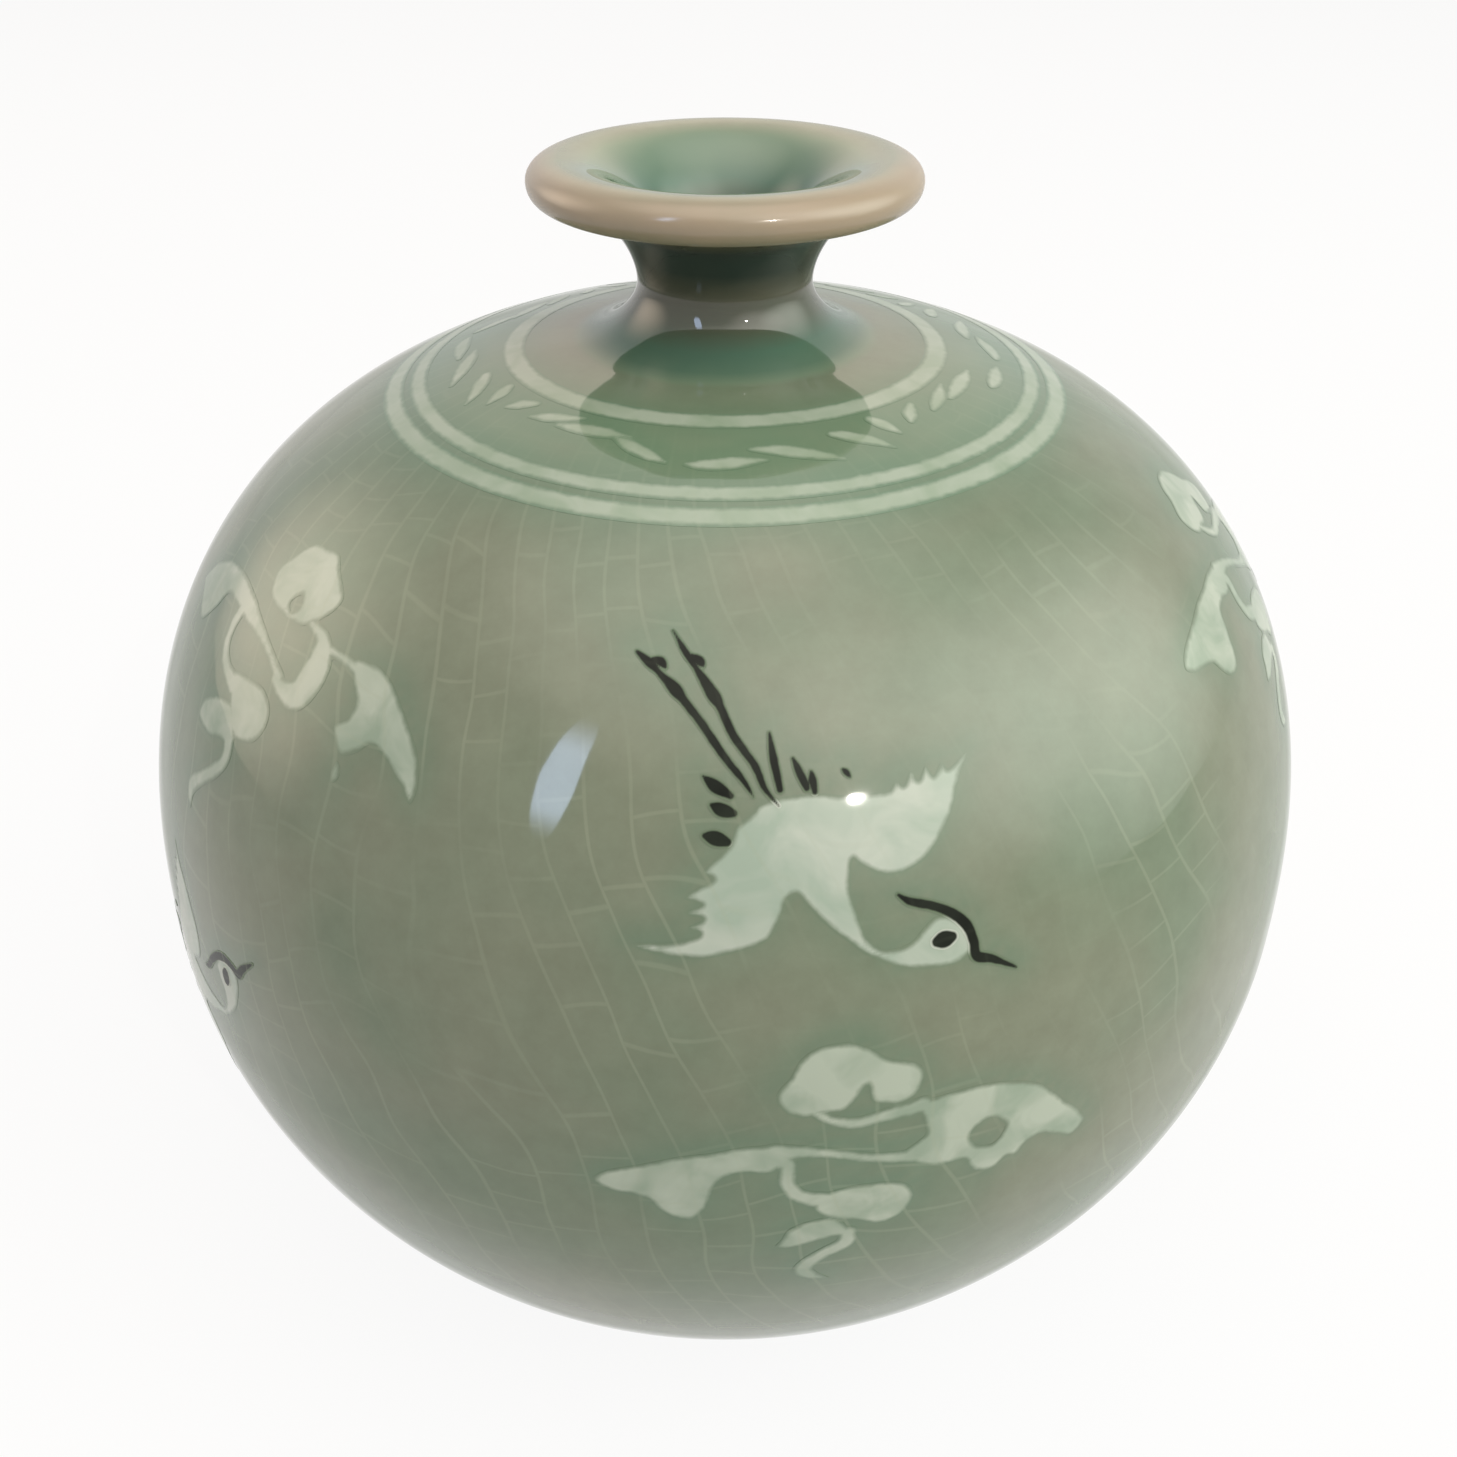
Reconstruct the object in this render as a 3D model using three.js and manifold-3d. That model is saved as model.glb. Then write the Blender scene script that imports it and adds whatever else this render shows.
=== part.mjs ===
// Celadon vase with white and black slip inlays, in millimetres, +Z up.
// The origin is at the centre of the foot ring's underside; the front faces -Y.
import * as THREE from 'three';
import { mergeVertices } from 'three/addons/utils/BufferGeometryUtils.js';
import Module from 'manifold-3d';

const wasm = await Module();
wasm.setup();

// Belly: two superellipse halves that meet at the widest circle
const bellyRadius = 75;
const bellyHeight = 65.5;
const shoulderRise = 68;
const shoulderFullness = 2.435;
const bellyDrop = 71.4;
const bellyFullness = 1.896;

// Foot ring
const footRadius = 32;
const footRingWidth = 4.5;
const footRecess = 2;

// Neck and rolled lip
const neckRadius = 10.2;
const neckHeight = 139.2;
const neckFillet = 8;
const lipRadius = 22.3;
const lipHeight = 152.9;
const lipRoll = 4.7;
const lipCrestRadius = 18.8;
const throatRadius = 7.2;
const throatTop = 143;

// Clay thickness
const wall = 4;
const baseThickness = 4;

// Inlays: slip laid into cut recesses, with the clearance kept all round
const inlayDepth = 0.9;
const clearance = 0.3;

// Shoulder lines, as radii from the axis
const innerRingRadius = 25.0;
const middleRingRadius = 36.3;
const outerRingRadius = 39.3;
const innerRingWidth = 2;
const middleRingWidth = 1.6;
const outerRingWidth = 1.8;

// Heights of the figures' centres above the widest circle
const highCraneHeight = 42.7;
const lowCraneHeight = 2.8;
const lowCloudHeight = 9.8;
const highCloudHeight = 46;

// Wing tip to wing tip
const craneWidth = 32.7;
const cloudWidth = 52;

// Slip lines of the figures
const craneLineWidth = 1;
const cloudLineWidth = 1.9;
const leafWidth = 1.9;

// Facets
const segments = 36;
const upperRows = 7;
const lowerRows = 6;
const shoulderRows = 2;
const hollowRows = 4;

const white = 0xc3ccb9;
const black = 0x3b3c38;
const celadon = 0x8b937c;

// Belly surface

function surfaceRadius(height) {
  const rise = height < 0 ? bellyDrop : shoulderRise;
  const fullness = height < 0 ? bellyFullness : shoulderFullness;
  const share = Math.min(Math.abs(height) / rise, 1);
  return bellyRadius * (1 - share ** fullness) ** (1 / fullness);
}

function upperHeight(radius) {
  const share = (radius / bellyRadius) ** shoulderFullness;
  return shoulderRise * (1 - share) ** (1 / shoulderFullness);
}

// The edges of a ring line's groove, as radii
function ringOf(radius, width) {
  const reach = width / 2 + clearance;
  return { radius, width, near: radius - reach, far: radius + reach };
}

const innerRing = ringOf(innerRingRadius, innerRingWidth);
const middleRing = ringOf(middleRingRadius, middleRingWidth);
const outerRing = ringOf(outerRingRadius, outerRingWidth);

// One half of a belly outline from the widest circle to a radius, as [radius, height] points
function halfOutline(radius, rise, fullness, endRadius, rows) {
  const last = Math.acos((endRadius / radius) ** (fullness / 2));
  const points = [];
  for (let row = 0; row <= rows; row += 1) {
    const turn = (last * row) / rows;
    const r = radius * Math.cos(turn) ** (2 / fullness);
    const z = rise * Math.sin(turn) ** (2 / fullness);
    points.push(new THREE.Vector2(r, z));
  }
  return points;
}

// A point on the upper belly at a radius, sunk under the surface by a depth
function upperPoint(radius, depth) {
  const step = 0.01;
  const slope = (upperHeight(radius + step) - upperHeight(radius - step)) / (2 * step);
  const length = Math.hypot(slope, 1);
  return new THREE.Vector2(
    radius + (slope * depth) / length,
    upperHeight(radius) + bellyHeight - depth / length,
  );
}

// The belly below the ring lines, between two radii
function bellyOutline(inset, lowRadius, highRadius) {
  const radius = bellyRadius - inset;
  const low = halfOutline(
    radius, inset - bellyDrop, bellyFullness, lowRadius, lowerRows,
  );
  const high = halfOutline(
    radius, shoulderRise - inset, shoulderFullness, highRadius, upperRows,
  );
  const outline = [...low.reverse(), ...high.slice(1)];
  return outline.map((p) => new THREE.Vector2(p.x, p.y + bellyHeight));
}

function bezier(a, b, c, d, rows) {
  const curve = new THREE.CubicBezierCurve(
    new THREE.Vector2(...a),
    new THREE.Vector2(...b),
    new THREE.Vector2(...c),
    new THREE.Vector2(...d),
  );
  return curve.getPoints(rows).slice(1);
}

// Solids

function solidOf(geometry) {
  const bare = geometry.clone();
  bare.deleteAttribute('normal');
  bare.deleteAttribute('uv');
  const merged = mergeVertices(bare, 1e-4);
  const index = Array.from(merged.index.array);
  const kept = [];
  for (let i = 0; i < index.length; i += 3) {
    const [a, b, c] = index.slice(i, i + 3);
    if (a !== b && b !== c && c !== a) kept.push(a, b, c);
  }
  const mesh = new wasm.Mesh({
    numProp: 3,
    vertProperties: new Float32Array(merged.attributes.position.array),
    triVerts: new Uint32Array(kept),
  });
  return new wasm.Manifold(mesh);
}

// A solid of revolution about Z from an outline that closes on itself or on the axis
function turned(points) {
  const geometry = new THREE.LatheGeometry(points, segments);
  geometry.rotateX(Math.PI / 2);
  return solidOf(geometry);
}

function prism(outline, holes, low, high) {
  const shape = new THREE.Shape(outline);
  shape.holes = holes.map((hole) => new THREE.Path(hole));
  const geometry = new THREE.ExtrudeGeometry(shape, {
    depth: high - low,
    steps: 1,
    bevelEnabled: false,
  });
  geometry.translate(0, 0, low);
  return geometry;
}

function joined(solids) {
  return solids.reduce((sum, next) => sum.add(next));
}

// A band of skin between two depths under the surface: below the ring lines, and between them
function bellySkin(outer, inner) {
  const low = footRadius + 1;
  const outside = bellyOutline(outer, low, outerRing.far);
  const inside = bellyOutline(inner, low, outerRing.far);
  return turned([...outside, ...inside.reverse(), outside[0].clone()]);
}

function garlandSkin(outer, inner) {
  const corners = [
    upperPoint(middleRing.near, outer), upperPoint(innerRing.far, outer),
    upperPoint(innerRing.far, inner), upperPoint(middleRing.near, inner),
    upperPoint(middleRing.near, outer),
  ];
  return turned(corners);
}

// Outlines in a figure's own plane

// A crane's or cloud's points are drawn in hundredths of its span
function inMillimetres(points, unit) {
  return points.map(([x, y, share]) => [x * unit, y * unit, share]);
}

// Moves every side of a closed outline outward by a distance
function widened(outline, by) {
  const points = outline.map((p) => new THREE.Vector2(...p));
  if (THREE.ShapeUtils.area(points) < 0) points.reverse();
  return points.map((point, i) => {
    const before = points[(i + points.length - 1) % points.length];
    const after = points[(i + 1) % points.length];
    const a = point.clone().sub(before).normalize();
    const b = after.clone().sub(point).normalize();
    const out = new THREE.Vector2(a.y + b.y, -a.x - b.x);
    const scale = by / Math.max(1 + a.dot(b), 0.35);
    return point.clone().add(out.multiplyScalar(scale));
  });
}

// A brush stroke: [x, y, width as a share of the line's width] along its centre line
function stroke(centres, width, by) {
  const left = [];
  const right = [];
  centres.forEach((centre, i) => {
    const before = centres[Math.max(i - 1, 0)];
    const after = centres[Math.min(i + 1, centres.length - 1)];
    const along = new THREE.Vector2(after[0] - before[0], after[1] - before[1]).normalize();
    const half = (centre[2] * width) / 2 + by;
    let past = 0;
    if (i === 0) past = -by;
    if (i === centres.length - 1) past = by;
    const x = centre[0] + along.x * past;
    const y = centre[1] + along.y * past;
    left.push(new THREE.Vector2(x - along.y * half, y + along.x * half));
    right.push(new THREE.Vector2(x + along.y * half, y - along.x * half));
  });
  return [...left, ...right.reverse()];
}

// A figure's strokes and areas as one solid, widened by a distance
function figureSolid(figure, by, low, high, matrix) {
  const { unit, lineWidth } = figure;
  const solids = [];
  (figure.areas ?? []).forEach((area) => {
    const outline = widened(inMillimetres(area.outline, unit), by);
    const holes = (area.holes ?? []).map((hole) => widened(inMillimetres(hole, unit), -by));
    solids.push(prism(outline, holes, low, high));
  });
  (figure.strokes ?? []).forEach((centres) => {
    solids.push(prism(stroke(inMillimetres(centres, unit), lineWidth, by), [], low, high));
  });
  return joined(solids.map((geometry) => solidOf(geometry.applyMatrix4(matrix))));
}

// Where a figure lies: its own x runs right round the belly, its y up, its z out
function placed(azimuth, height, turn) {
  const angle = THREE.MathUtils.degToRad(azimuth);
  const step = 0.01;
  const slope = (surfaceRadius(height + step) - surfaceRadius(height - step)) / (2 * step);
  const radial = new THREE.Vector3(Math.sin(angle), -Math.cos(angle), 0);
  const vertical = new THREE.Vector3(0, 0, 1);
  const out = radial.clone().addScaledVector(vertical, -slope).normalize();
  const up = vertical.clone().addScaledVector(radial, slope).normalize();
  const right = up.clone().cross(out);
  const centre = radial.clone().multiplyScalar(surfaceRadius(height));
  centre.z = height + bellyHeight;
  const matrix = new THREE.Matrix4().makeBasis(right, up, out).setPosition(centre);
  return matrix.multiply(new THREE.Matrix4().makeRotationZ(THREE.MathUtils.degToRad(turn)));
}

// Crane, head down to the right, about its back

const eye = { centre: [40.7, -37.3], length: 7.3, height: 4.6 };
const eyeTilt = -25;

function eyeOutline() {
  const tilt = THREE.MathUtils.degToRad(eyeTilt);
  const curve = new THREE.EllipseCurve(
    ...eye.centre, eye.length / 2, eye.height / 2, 0, Math.PI * 2, false, tilt,
  );
  return curve.getPoints(6).slice(0, 6).map((p) => [p.x, p.y]);
}

const craneBody = {
  unit: craneWidth / 100,
  lineWidth: craneLineWidth,
  areas: [{
    outline: [
      [-49.8, -32.1], [-41, -36.1], [-30.6, -37.6], [-11.9, -33.9], [-2.4, -21.1],
      [10.1, -33.9], [22.3, -42.8], [30.6, -45.3], [45, -44.6], [48.9, -40.4],
      [45.6, -32.4], [39.1, -30.3], [30.6, -37.3], [23.9, -38.8], [18.7, -36.4], [14.1, -24.5],
      [14.4, -11.9], [22, -16.8], [28.7, -16.8], [40.7, -7.3], [50.2, 15],
      [30.6, 10.7], [13.5, 6.1], [-3.4, 7], [-13.5, 2.8],
      [-27.2, -12.5], [-25.4, -16.2], [-32.7, -19.3], [-27.2, -23.2], [-31.5, -25.1], [-29.7, -31.5],
    ],
  }],
};

const craneCrest = {
  unit: craneWidth / 100,
  lineWidth: craneLineWidth,
  strokes: [[
    [27.2, -23.2, 0.5], [37.3, -27.2, 0.9], [47.1, -33.6, 1.1], [50.5, -42.8, 1.1], [63.6, -48, 0.4],
  ]],
};

const craneEye = {
  unit: craneWidth / 100,
  lineWidth: craneLineWidth,
  areas: [{ outline: eyeOutline() }],
};

const craneLegs = {
  unit: craneWidth / 100,
  lineWidth: craneLineWidth,
  strokes: [
    [[-42.5, 51.1, 0.5], [-38.2, 46.8, 1], [-25.4, 28.1, 0.9], [-12.8, 9.5, 0.8]],
    [[-31.8, 56.6, 0.5], [-26.6, 45.9, 1], [-12.2, 8.9, 0.8]],
  ],
};

// Cloud scrolls: a head over two wings, a looped stem with two lobes, and a tail

const lowCloud = {
  unit: cloudWidth / 100,
  lineWidth: cloudLineWidth,
  areas: [{
    outline: [
      [-14, 14.8], [-9.6, 9], [-1.7, 9], [2.9, 14.6], [4.4, 10.8], [11.3, 9.8],
      [14.2, 14.4], [7.3, 20.2], [1, 24.6], [-7.3, 23.7],
    ],
  }, {
    outline: [
      [13.3, 8.5], [26.5, 9.6], [39.6, 4.8], [51.7, -10.2], [48.7, -13.3], [39.4, -9.2],
      [30.6, -14.2], [23.5, -9], [15.6, -8.3], [10.2, -3.7], [15, 0.6],
    ],
    holes: [[[28.7, 1], [32.7, -2.9], [28.7, -7.1], [24.8, -2.9]]],
  }, {
    outline: [
      [-13.5, 2.1], [-19.2, 2.7], [-32.5, 0], [-48.1, -6.9], [-45.8, -10.4],
      [-38.5, -11.7], [-31.5, -17.3], [-24.6, -6], [-14.4, -3.8],
    ],
  }, {
    outline: [
      [-7.3, -10], [9.6, -10.8], [13.7, -16.2], [8.7, -22.1], [1.7, -25],
      [-13.8, -26.7], [-6.7, -18.3],
    ],
  }],
  strokes: [
    [[-6.9, 10, 0.6], [0.8, 7.1, 0.7], [15, 8.1, 0.9]],
    [[13.5, -4.6, 0.9], [-1.9, -1.3, 0.7], [-15.4, 0, 1]],
    [[-13.5, 0, 1], [-11.9, -7.3, 0.9], [-5.8, -12.7, 1]],
    [[0, -24, 1], [-7.3, -32.7, 1], [-2.5, -40.2, 0.4]],
  ],
};

const highCloud = {
  unit: cloudWidth / 100,
  lineWidth: cloudLineWidth,
  areas: [{
    outline: [
      [-12.1, 14], [-6.7, 22.7], [2.3, 24.2], [12.1, 18.1], [12.1, 15], [6.9, 8.5],
      [-1.5, 7.5], [-10.6, 10.4],
    ],
  }, {
    outline: [
      [25, 9.8], [32.7, 11.3], [41.9, 7.3], [51.9, -2.5], [51.9, -6.2], [39.2, -1.5],
      [33.8, -6.5], [28.8, -2.3], [31.2, 1.7], [25.6, 6.3],
    ],
  }, {
    outline: [
      [-11.5, 5.4], [-23.5, 8.1], [-37.9, 6.9], [-47.3, -0.6], [-41.5, -2.5],
      [-35.4, -7.1], [-25.4, 2.5], [-11.5, 1.7],
    ],
  }, {
    outline: [
      [-6.5, -8.8], [6.3, -6.7], [11.7, -11.9], [6.7, -18.1], [2.1, -21.5],
      [-12.9, -23.1], [-14.4, -17.9], [-4.8, -13.8],
    ],
  }],
  strokes: [
    [[8.1, 10, 0.8], [15, 6.5, 1.8], [16.5, -0.4, 2], [7.7, -3.3, 1]],
    [[16.3, 7.1, 0.7], [26.9, 8.5, 0.7]],
    [[-13.5, 3.7, 1], [8.8, -2.9, 0.9]],
    [[-16.2, 3.5, 1], [-16.5, -5.8, 0.8], [-4.6, -10.8, 1]],
    [[0.8, -20.4, 1], [-0.4, -27.3, 0.9], [-11.2, -36.2, 1], [-9.8, -40.2, 0.4]],
  ],
};

// Garland strokes: [degrees from the start of the repeat, hundredths of the way from the inner
// to the middle ring line, width share]; strokes that touch on the vase are one inlay
const garland = [
  [[[0, 67, 0.6], [7, 65, 1], [15, 61, 0.5]]],
  [[[12, 40, 0.6], [22, 52, 1], [29, 72, 0.6]]],
  [[[30, 27, 0.9], [35, 42, 1], [40, 71, 0.4]]],
  [[[41, 16, 1.1], [44, 51, 0.7]]],
  [[[49, 39, 0.8], [54, 15, 1]]],
  [
    [[57, 37, 0.6], [62, 25, 1], [69, 12, 0.6]],
    [[65, 35, 0.8], [74, 29, 1.1], [82, 29, 0.6]],
  ],
  [[[78, 65, 0.6], [83, 65, 1], [90, 66, 0.6]]],
];

// The last stroke where it touches the one before it
const touchingLeaf = [[79, 33, 0.7], [84, 48, 1], [91, 66, 0.6]];

// Degrees round the vase where each repeat starts, and how far it is drawn out
const repeats = [
  { start: -7, spread: 1, joinLast: false },
  { start: 88, spread: 0.9, joinLast: true },
  { start: 173, spread: 0.9, joinLast: true },
  { start: 258, spread: 1, joinLast: true },
];

// Figures round the belly: azimuth in degrees from the front, turn and tip in degrees
const figures = [
  { crane: 6.25, high: true, turn: 0, cloud: 9.5, tip: 0, scroll: lowCloud },
  { crane: 84, high: false, turn: 68, cloud: 74.6, tip: -13, scroll: lowCloud },
  { crane: 133, high: true, turn: 0, cloud: 136, tip: 0, scroll: lowCloud },
  { crane: 186, high: false, turn: 68, cloud: 191.5, tip: 0, scroll: highCloud },
  { crane: 248, high: true, turn: 0, cloud: 250, tip: 0, scroll: lowCloud },
  { crane: 299.2, high: false, turn: 68, cloud: 308, tip: 0, scroll: highCloud },
];

// Vase body, before the recesses are cut

const innerBottom = footRecess + baseThickness;
const innerTop = upperHeight(neckRadius + neckFillet) + bellyHeight - wall;
const shoulderEnd = new THREE.Vector2(
  neckRadius + neckFillet,
  upperHeight(neckRadius + neckFillet) + bellyHeight,
);
const innerFullness = 2.2;
const lipUnder = lipHeight - lipRoll;

function groove(ring) {
  const depth = inlayDepth + clearance;
  return [
    upperPoint(ring.far, 0), upperPoint(ring.far, depth),
    upperPoint(ring.near, depth), upperPoint(ring.near, 0),
  ];
}

const collar = [];
for (let row = 1; row <= shoulderRows; row += 1) {
  const share = row / shoulderRows;
  collar.push(upperPoint(innerRing.near + (shoulderEnd.x - innerRing.near) * share, 0));
}

const outside = [
  ...bellyOutline(0, footRadius + 1, outerRing.far).slice(0, -1),
  ...groove(outerRing),
  ...groove(middleRing),
  ...groove(innerRing),
  ...collar,
  ...bezier(
    [shoulderEnd.x, shoulderEnd.y],
    [shoulderEnd.x - neckFillet * 0.6, shoulderEnd.y + neckFillet * 0.09],
    [neckRadius, neckHeight - (neckHeight - shoulderEnd.y) * 0.38],
    [neckRadius, neckHeight],
    4,
  ),
  ...bezier(
    [neckRadius, neckHeight],
    [neckRadius, neckHeight + (lipUnder - neckHeight) * 0.34],
    [neckRadius + (lipRadius - neckRadius) * 0.25, lipUnder],
    [lipRadius - lipRoll * 0.67, lipUnder],
    4,
  ),
  ...bezier(
    [lipRadius - lipRoll * 0.67, lipUnder],
    [lipRadius - lipRoll * 0.2, lipUnder],
    [lipRadius, lipUnder + lipRoll * 0.2],
    [lipRadius, lipUnder + lipRoll * 0.5],
    2,
  ),
  ...bezier(
    [lipRadius, lipUnder + lipRoll * 0.5],
    [lipRadius, lipUnder + lipRoll * 0.8],
    [lipCrestRadius + (lipRadius - lipCrestRadius) * 0.55, lipHeight],
    [lipCrestRadius, lipHeight],
    2,
  ),
];

const hollow = halfOutline(
  bellyRadius - wall,
  innerBottom - bellyHeight,
  innerFullness,
  footRadius / 2,
  hollowRows,
).reverse();
const hollowTop = halfOutline(
  bellyRadius - wall,
  shoulderRise - wall,
  shoulderFullness,
  throatRadius + wall,
  hollowRows,
).slice(1);
const inside = [...hollow, ...hollowTop].map(
  (p) => new THREE.Vector2(p.x, p.y + bellyHeight),
);
const mouth = bezier(
  [lipCrestRadius, lipHeight],
  [lipCrestRadius - (lipCrestRadius - throatRadius) * 0.5, lipHeight],
  [throatRadius, throatTop + (lipHeight - throatTop) * 0.4],
  [throatRadius, throatTop],
  4,
);

const vase = turned([
  new THREE.Vector2(0, footRecess),
  new THREE.Vector2(footRadius - footRingWidth, footRecess),
  new THREE.Vector2(footRadius - footRingWidth, 0),
  new THREE.Vector2(footRadius, 0),
  ...outside,
  ...mouth,
  new THREE.Vector2(throatRadius, innerTop + wall * 0.4),
  ...inside.reverse(),
  new THREE.Vector2(0, innerBottom),
]);

// Inlays and their recesses

const below = -0.15 * bellyRadius;
const above = 0.05 * bellyRadius;
const figureBand = {
  inlay: bellySkin(0, inlayDepth),
  recess: bellySkin(-2, inlayDepth + clearance),
};
const garlandBand = {
  inlay: garlandSkin(0, inlayDepth),
  recess: garlandSkin(-2, inlayDepth + clearance),
};
const upright = new THREE.Matrix4();
const inlays = [];
const recesses = [];

// A piece is cut with the widened lines before it, so that black and white keep their clearance
function addInlay(name, colour, figure, matrix, band, cutters) {
  const [low, high] = band === garlandBand
    ? [bellyHeight, bellyHeight + shoulderRise + above] : [below, above];
  const solid = figureSolid(figure, 0, low, high, matrix);
  const wide = figureSolid(figure, clearance, low, high, matrix).add(solid);
  const clear = cutters.reduce((rest, cutter) => rest.subtract(cutter), solid);
  inlays.push({ name, colour, solid: clear.intersect(band.inlay) });
  recesses.push(wide.intersect(band.recess));
  return wide;
}

function addRing(name, ring) {
  const near = ring.near + clearance;
  const far = ring.far - clearance;
  const corners = [
    upperPoint(far, 0), upperPoint(near, 0),
    upperPoint(near, inlayDepth), upperPoint(far, inlayDepth), upperPoint(far, 0),
  ];
  inlays.push({ name, colour: white, solid: turned(corners) });
}

addRing('shoulder_ring_inner', innerRing);
addRing('shoulder_ring_middle', middleRing);
addRing('shoulder_ring_outer', outerRing);

// A garland point in plan, seen from above with the front at -Y
function planPoint([degrees, across, share], start, spread) {
  const angle = THREE.MathUtils.degToRad(start + degrees * spread);
  const radius = innerRing.far + ((middleRing.near - innerRing.far) * across) / 100;
  return [radius * Math.sin(angle), -radius * Math.cos(angle), share];
}

repeats.forEach(({ start, spread, joinLast }, i) => {
  const groups = [...garland];
  if (joinLast) {
    groups.pop();
    groups.push([...groups.pop(), touchingLeaf]);
  }
  groups.forEach((group, j) => {
    const leaf = {
      unit: 1,
      lineWidth: leafWidth,
      strokes: group.map((line) => line.map((point) => planPoint(point, start, spread))),
    };
    addInlay(`garland_leaf_${i + 1}_${j + 1}`, white, leaf, upright, garlandBand, []);
  });
});

figures.forEach(({ crane, high, turn, cloud, tip, scroll }, i) => {
  const n = i + 1;
  const at = placed(crane, high ? highCraneHeight : lowCraneHeight, turn);
  const add = (name, colour, figure, cutters) => (
    addInlay(`crane_${n}_${name}`, colour, figure, at, figureBand, cutters)
  );
  const lines = [
    add('crest_and_beak', black, craneCrest, []),
    add('eye', black, craneEye, []),
    add('legs', black, craneLegs, []),
  ];
  add('body', white, craneBody, lines);
  const there = placed(cloud, high ? lowCloudHeight : highCloudHeight, tip);
  addInlay(`cloud_${n}`, white, scroll, there, figureBand, []);
});

const body = recesses.reduce((rest, recess) => rest.subtract(recess), vase);

// Scene

function meshOf(name, solid, colour, roughness) {
  const { vertProperties, triVerts } = solid.getMesh();
  const geometry = new THREE.BufferGeometry();
  geometry.setAttribute('position', new THREE.Float32BufferAttribute(vertProperties, 3));
  geometry.setIndex(Array.from(triVerts));
  geometry.computeVertexNormals();
  const material = new THREE.MeshStandardMaterial({ color: colour, roughness, metalness: 0 });
  const mesh = new THREE.Mesh(geometry, material);
  mesh.name = name;
  return mesh;
}

const part = new THREE.Group();
part.add(meshOf('vase_body', body, celadon, 0.15));
inlays.forEach(({ name, colour, solid }) => {
  part.add(meshOf(name, solid, colour, 0.2));
});

export default part;
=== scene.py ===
from math import radians, tau

import bpy
import numpy as np
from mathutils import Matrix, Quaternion, Vector, kdtree


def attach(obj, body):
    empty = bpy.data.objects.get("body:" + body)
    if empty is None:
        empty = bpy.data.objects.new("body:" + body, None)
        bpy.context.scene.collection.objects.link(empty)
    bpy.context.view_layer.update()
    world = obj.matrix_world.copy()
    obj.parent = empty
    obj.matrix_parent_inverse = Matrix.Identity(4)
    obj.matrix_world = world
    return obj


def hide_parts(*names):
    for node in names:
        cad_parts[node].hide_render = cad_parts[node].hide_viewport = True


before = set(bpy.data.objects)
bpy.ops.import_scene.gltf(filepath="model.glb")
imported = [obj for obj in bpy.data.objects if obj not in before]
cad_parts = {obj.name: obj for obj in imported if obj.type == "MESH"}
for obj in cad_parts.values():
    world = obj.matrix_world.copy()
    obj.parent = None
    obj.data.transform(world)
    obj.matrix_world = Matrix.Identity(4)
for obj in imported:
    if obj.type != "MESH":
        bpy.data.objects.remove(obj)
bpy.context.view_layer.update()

scene = bpy.context.scene

# ------------------------------------------------- thrown body
# One hollow form of grey stoneware, thrown on the wheel: a globe that closes to
# a narrow neck, whose lip is rolled outwards, over a low turned foot ring. The
# outline is turned by Geometry Nodes, as the wheel does it.

MM = 0.001
belly_radius, widest_height = 75.0, 65.5
shoulder_rise, shoulder_fullness = 68.0, 2.435
belly_drop, belly_fullness = 71.4, 1.896
foot_radius, foot_ring_width, foot_recess = 32.0, 4.5, 2.0
neck_radius, neck_height, neck_fillet = 10.2, 139.2, 8.0
lip_radius, lip_height, lip_roll, lip_crest = 22.3, 152.9, 4.7, 18.8
throat_radius, throat_top, wall, base = 7.2, 143.0, 4.0, 4.0
facets_round = 320


def shoulder_height(radius):
    share = (np.asarray(radius, float) / belly_radius) ** shoulder_fullness
    return widest_height + shoulder_rise * (1 - share) ** (1 / shoulder_fullness)


def half_globe(radius, rise, fullness, end_radius):
    """From the widest circle up, or down for a negative rise, to a radius."""
    last = np.arccos((end_radius / radius) ** (fullness / 2))
    turn = np.linspace(0, last, 1500)
    return np.column_stack([
        radius * np.cos(turn) ** (2 / fullness),
        widest_height + rise * np.sin(turn) ** (2 / fullness),
    ])


def evenly(step, line):
    """The same line, with its points about a step apart."""
    line = np.array(line, float)
    along = np.append(0, np.cumsum(np.hypot(*np.diff(line, axis=0).T)))
    at = np.linspace(0, along[-1], int(np.ceil(along[-1] / step)) + 1)
    return np.column_stack([np.interp(at, along, line[:, k]) for k in (0, 1)])


def bend(step, *four):
    """A cubic curve from the first of four points to the last, led by the others."""
    t = np.linspace(0, 1, 200)[:, None]
    s = 1 - t
    a, b, c, d = np.array(four, float)
    return evenly(step, s ** 3 * a + 3 * s ** 2 * t * b + 3 * s * t ** 2 * c + t ** 3 * d)


# Radius, height, and how the glaze lies: 0 is thin, 0.5 even, 1 pooled, and above
# that it is painted shade, brown-grey and then near black, on the neck under the lip
# and down the throat
outline = []


def continue_outline(line, *glaze):
    """Adds a line, along which the glaze runs evenly through the given values."""
    share, steps = np.linspace(0, 1, len(line)), np.linspace(0, 1, len(glaze))
    rows = np.column_stack([line, np.interp(share, steps, glaze)])
    outline.extend(rows[1:] if outline else rows)


foot_inside = foot_radius - foot_ring_width
shoulder_end = (neck_radius + neck_fillet, float(shoulder_height(neck_radius + neck_fillet)))
lip_under = lip_height - lip_roll
under_lip = (lip_radius - lip_roll * 0.67, lip_under)
lip_edge = (lip_radius, lip_under + lip_roll * 0.5)
crest = (lip_crest, lip_height)

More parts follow.
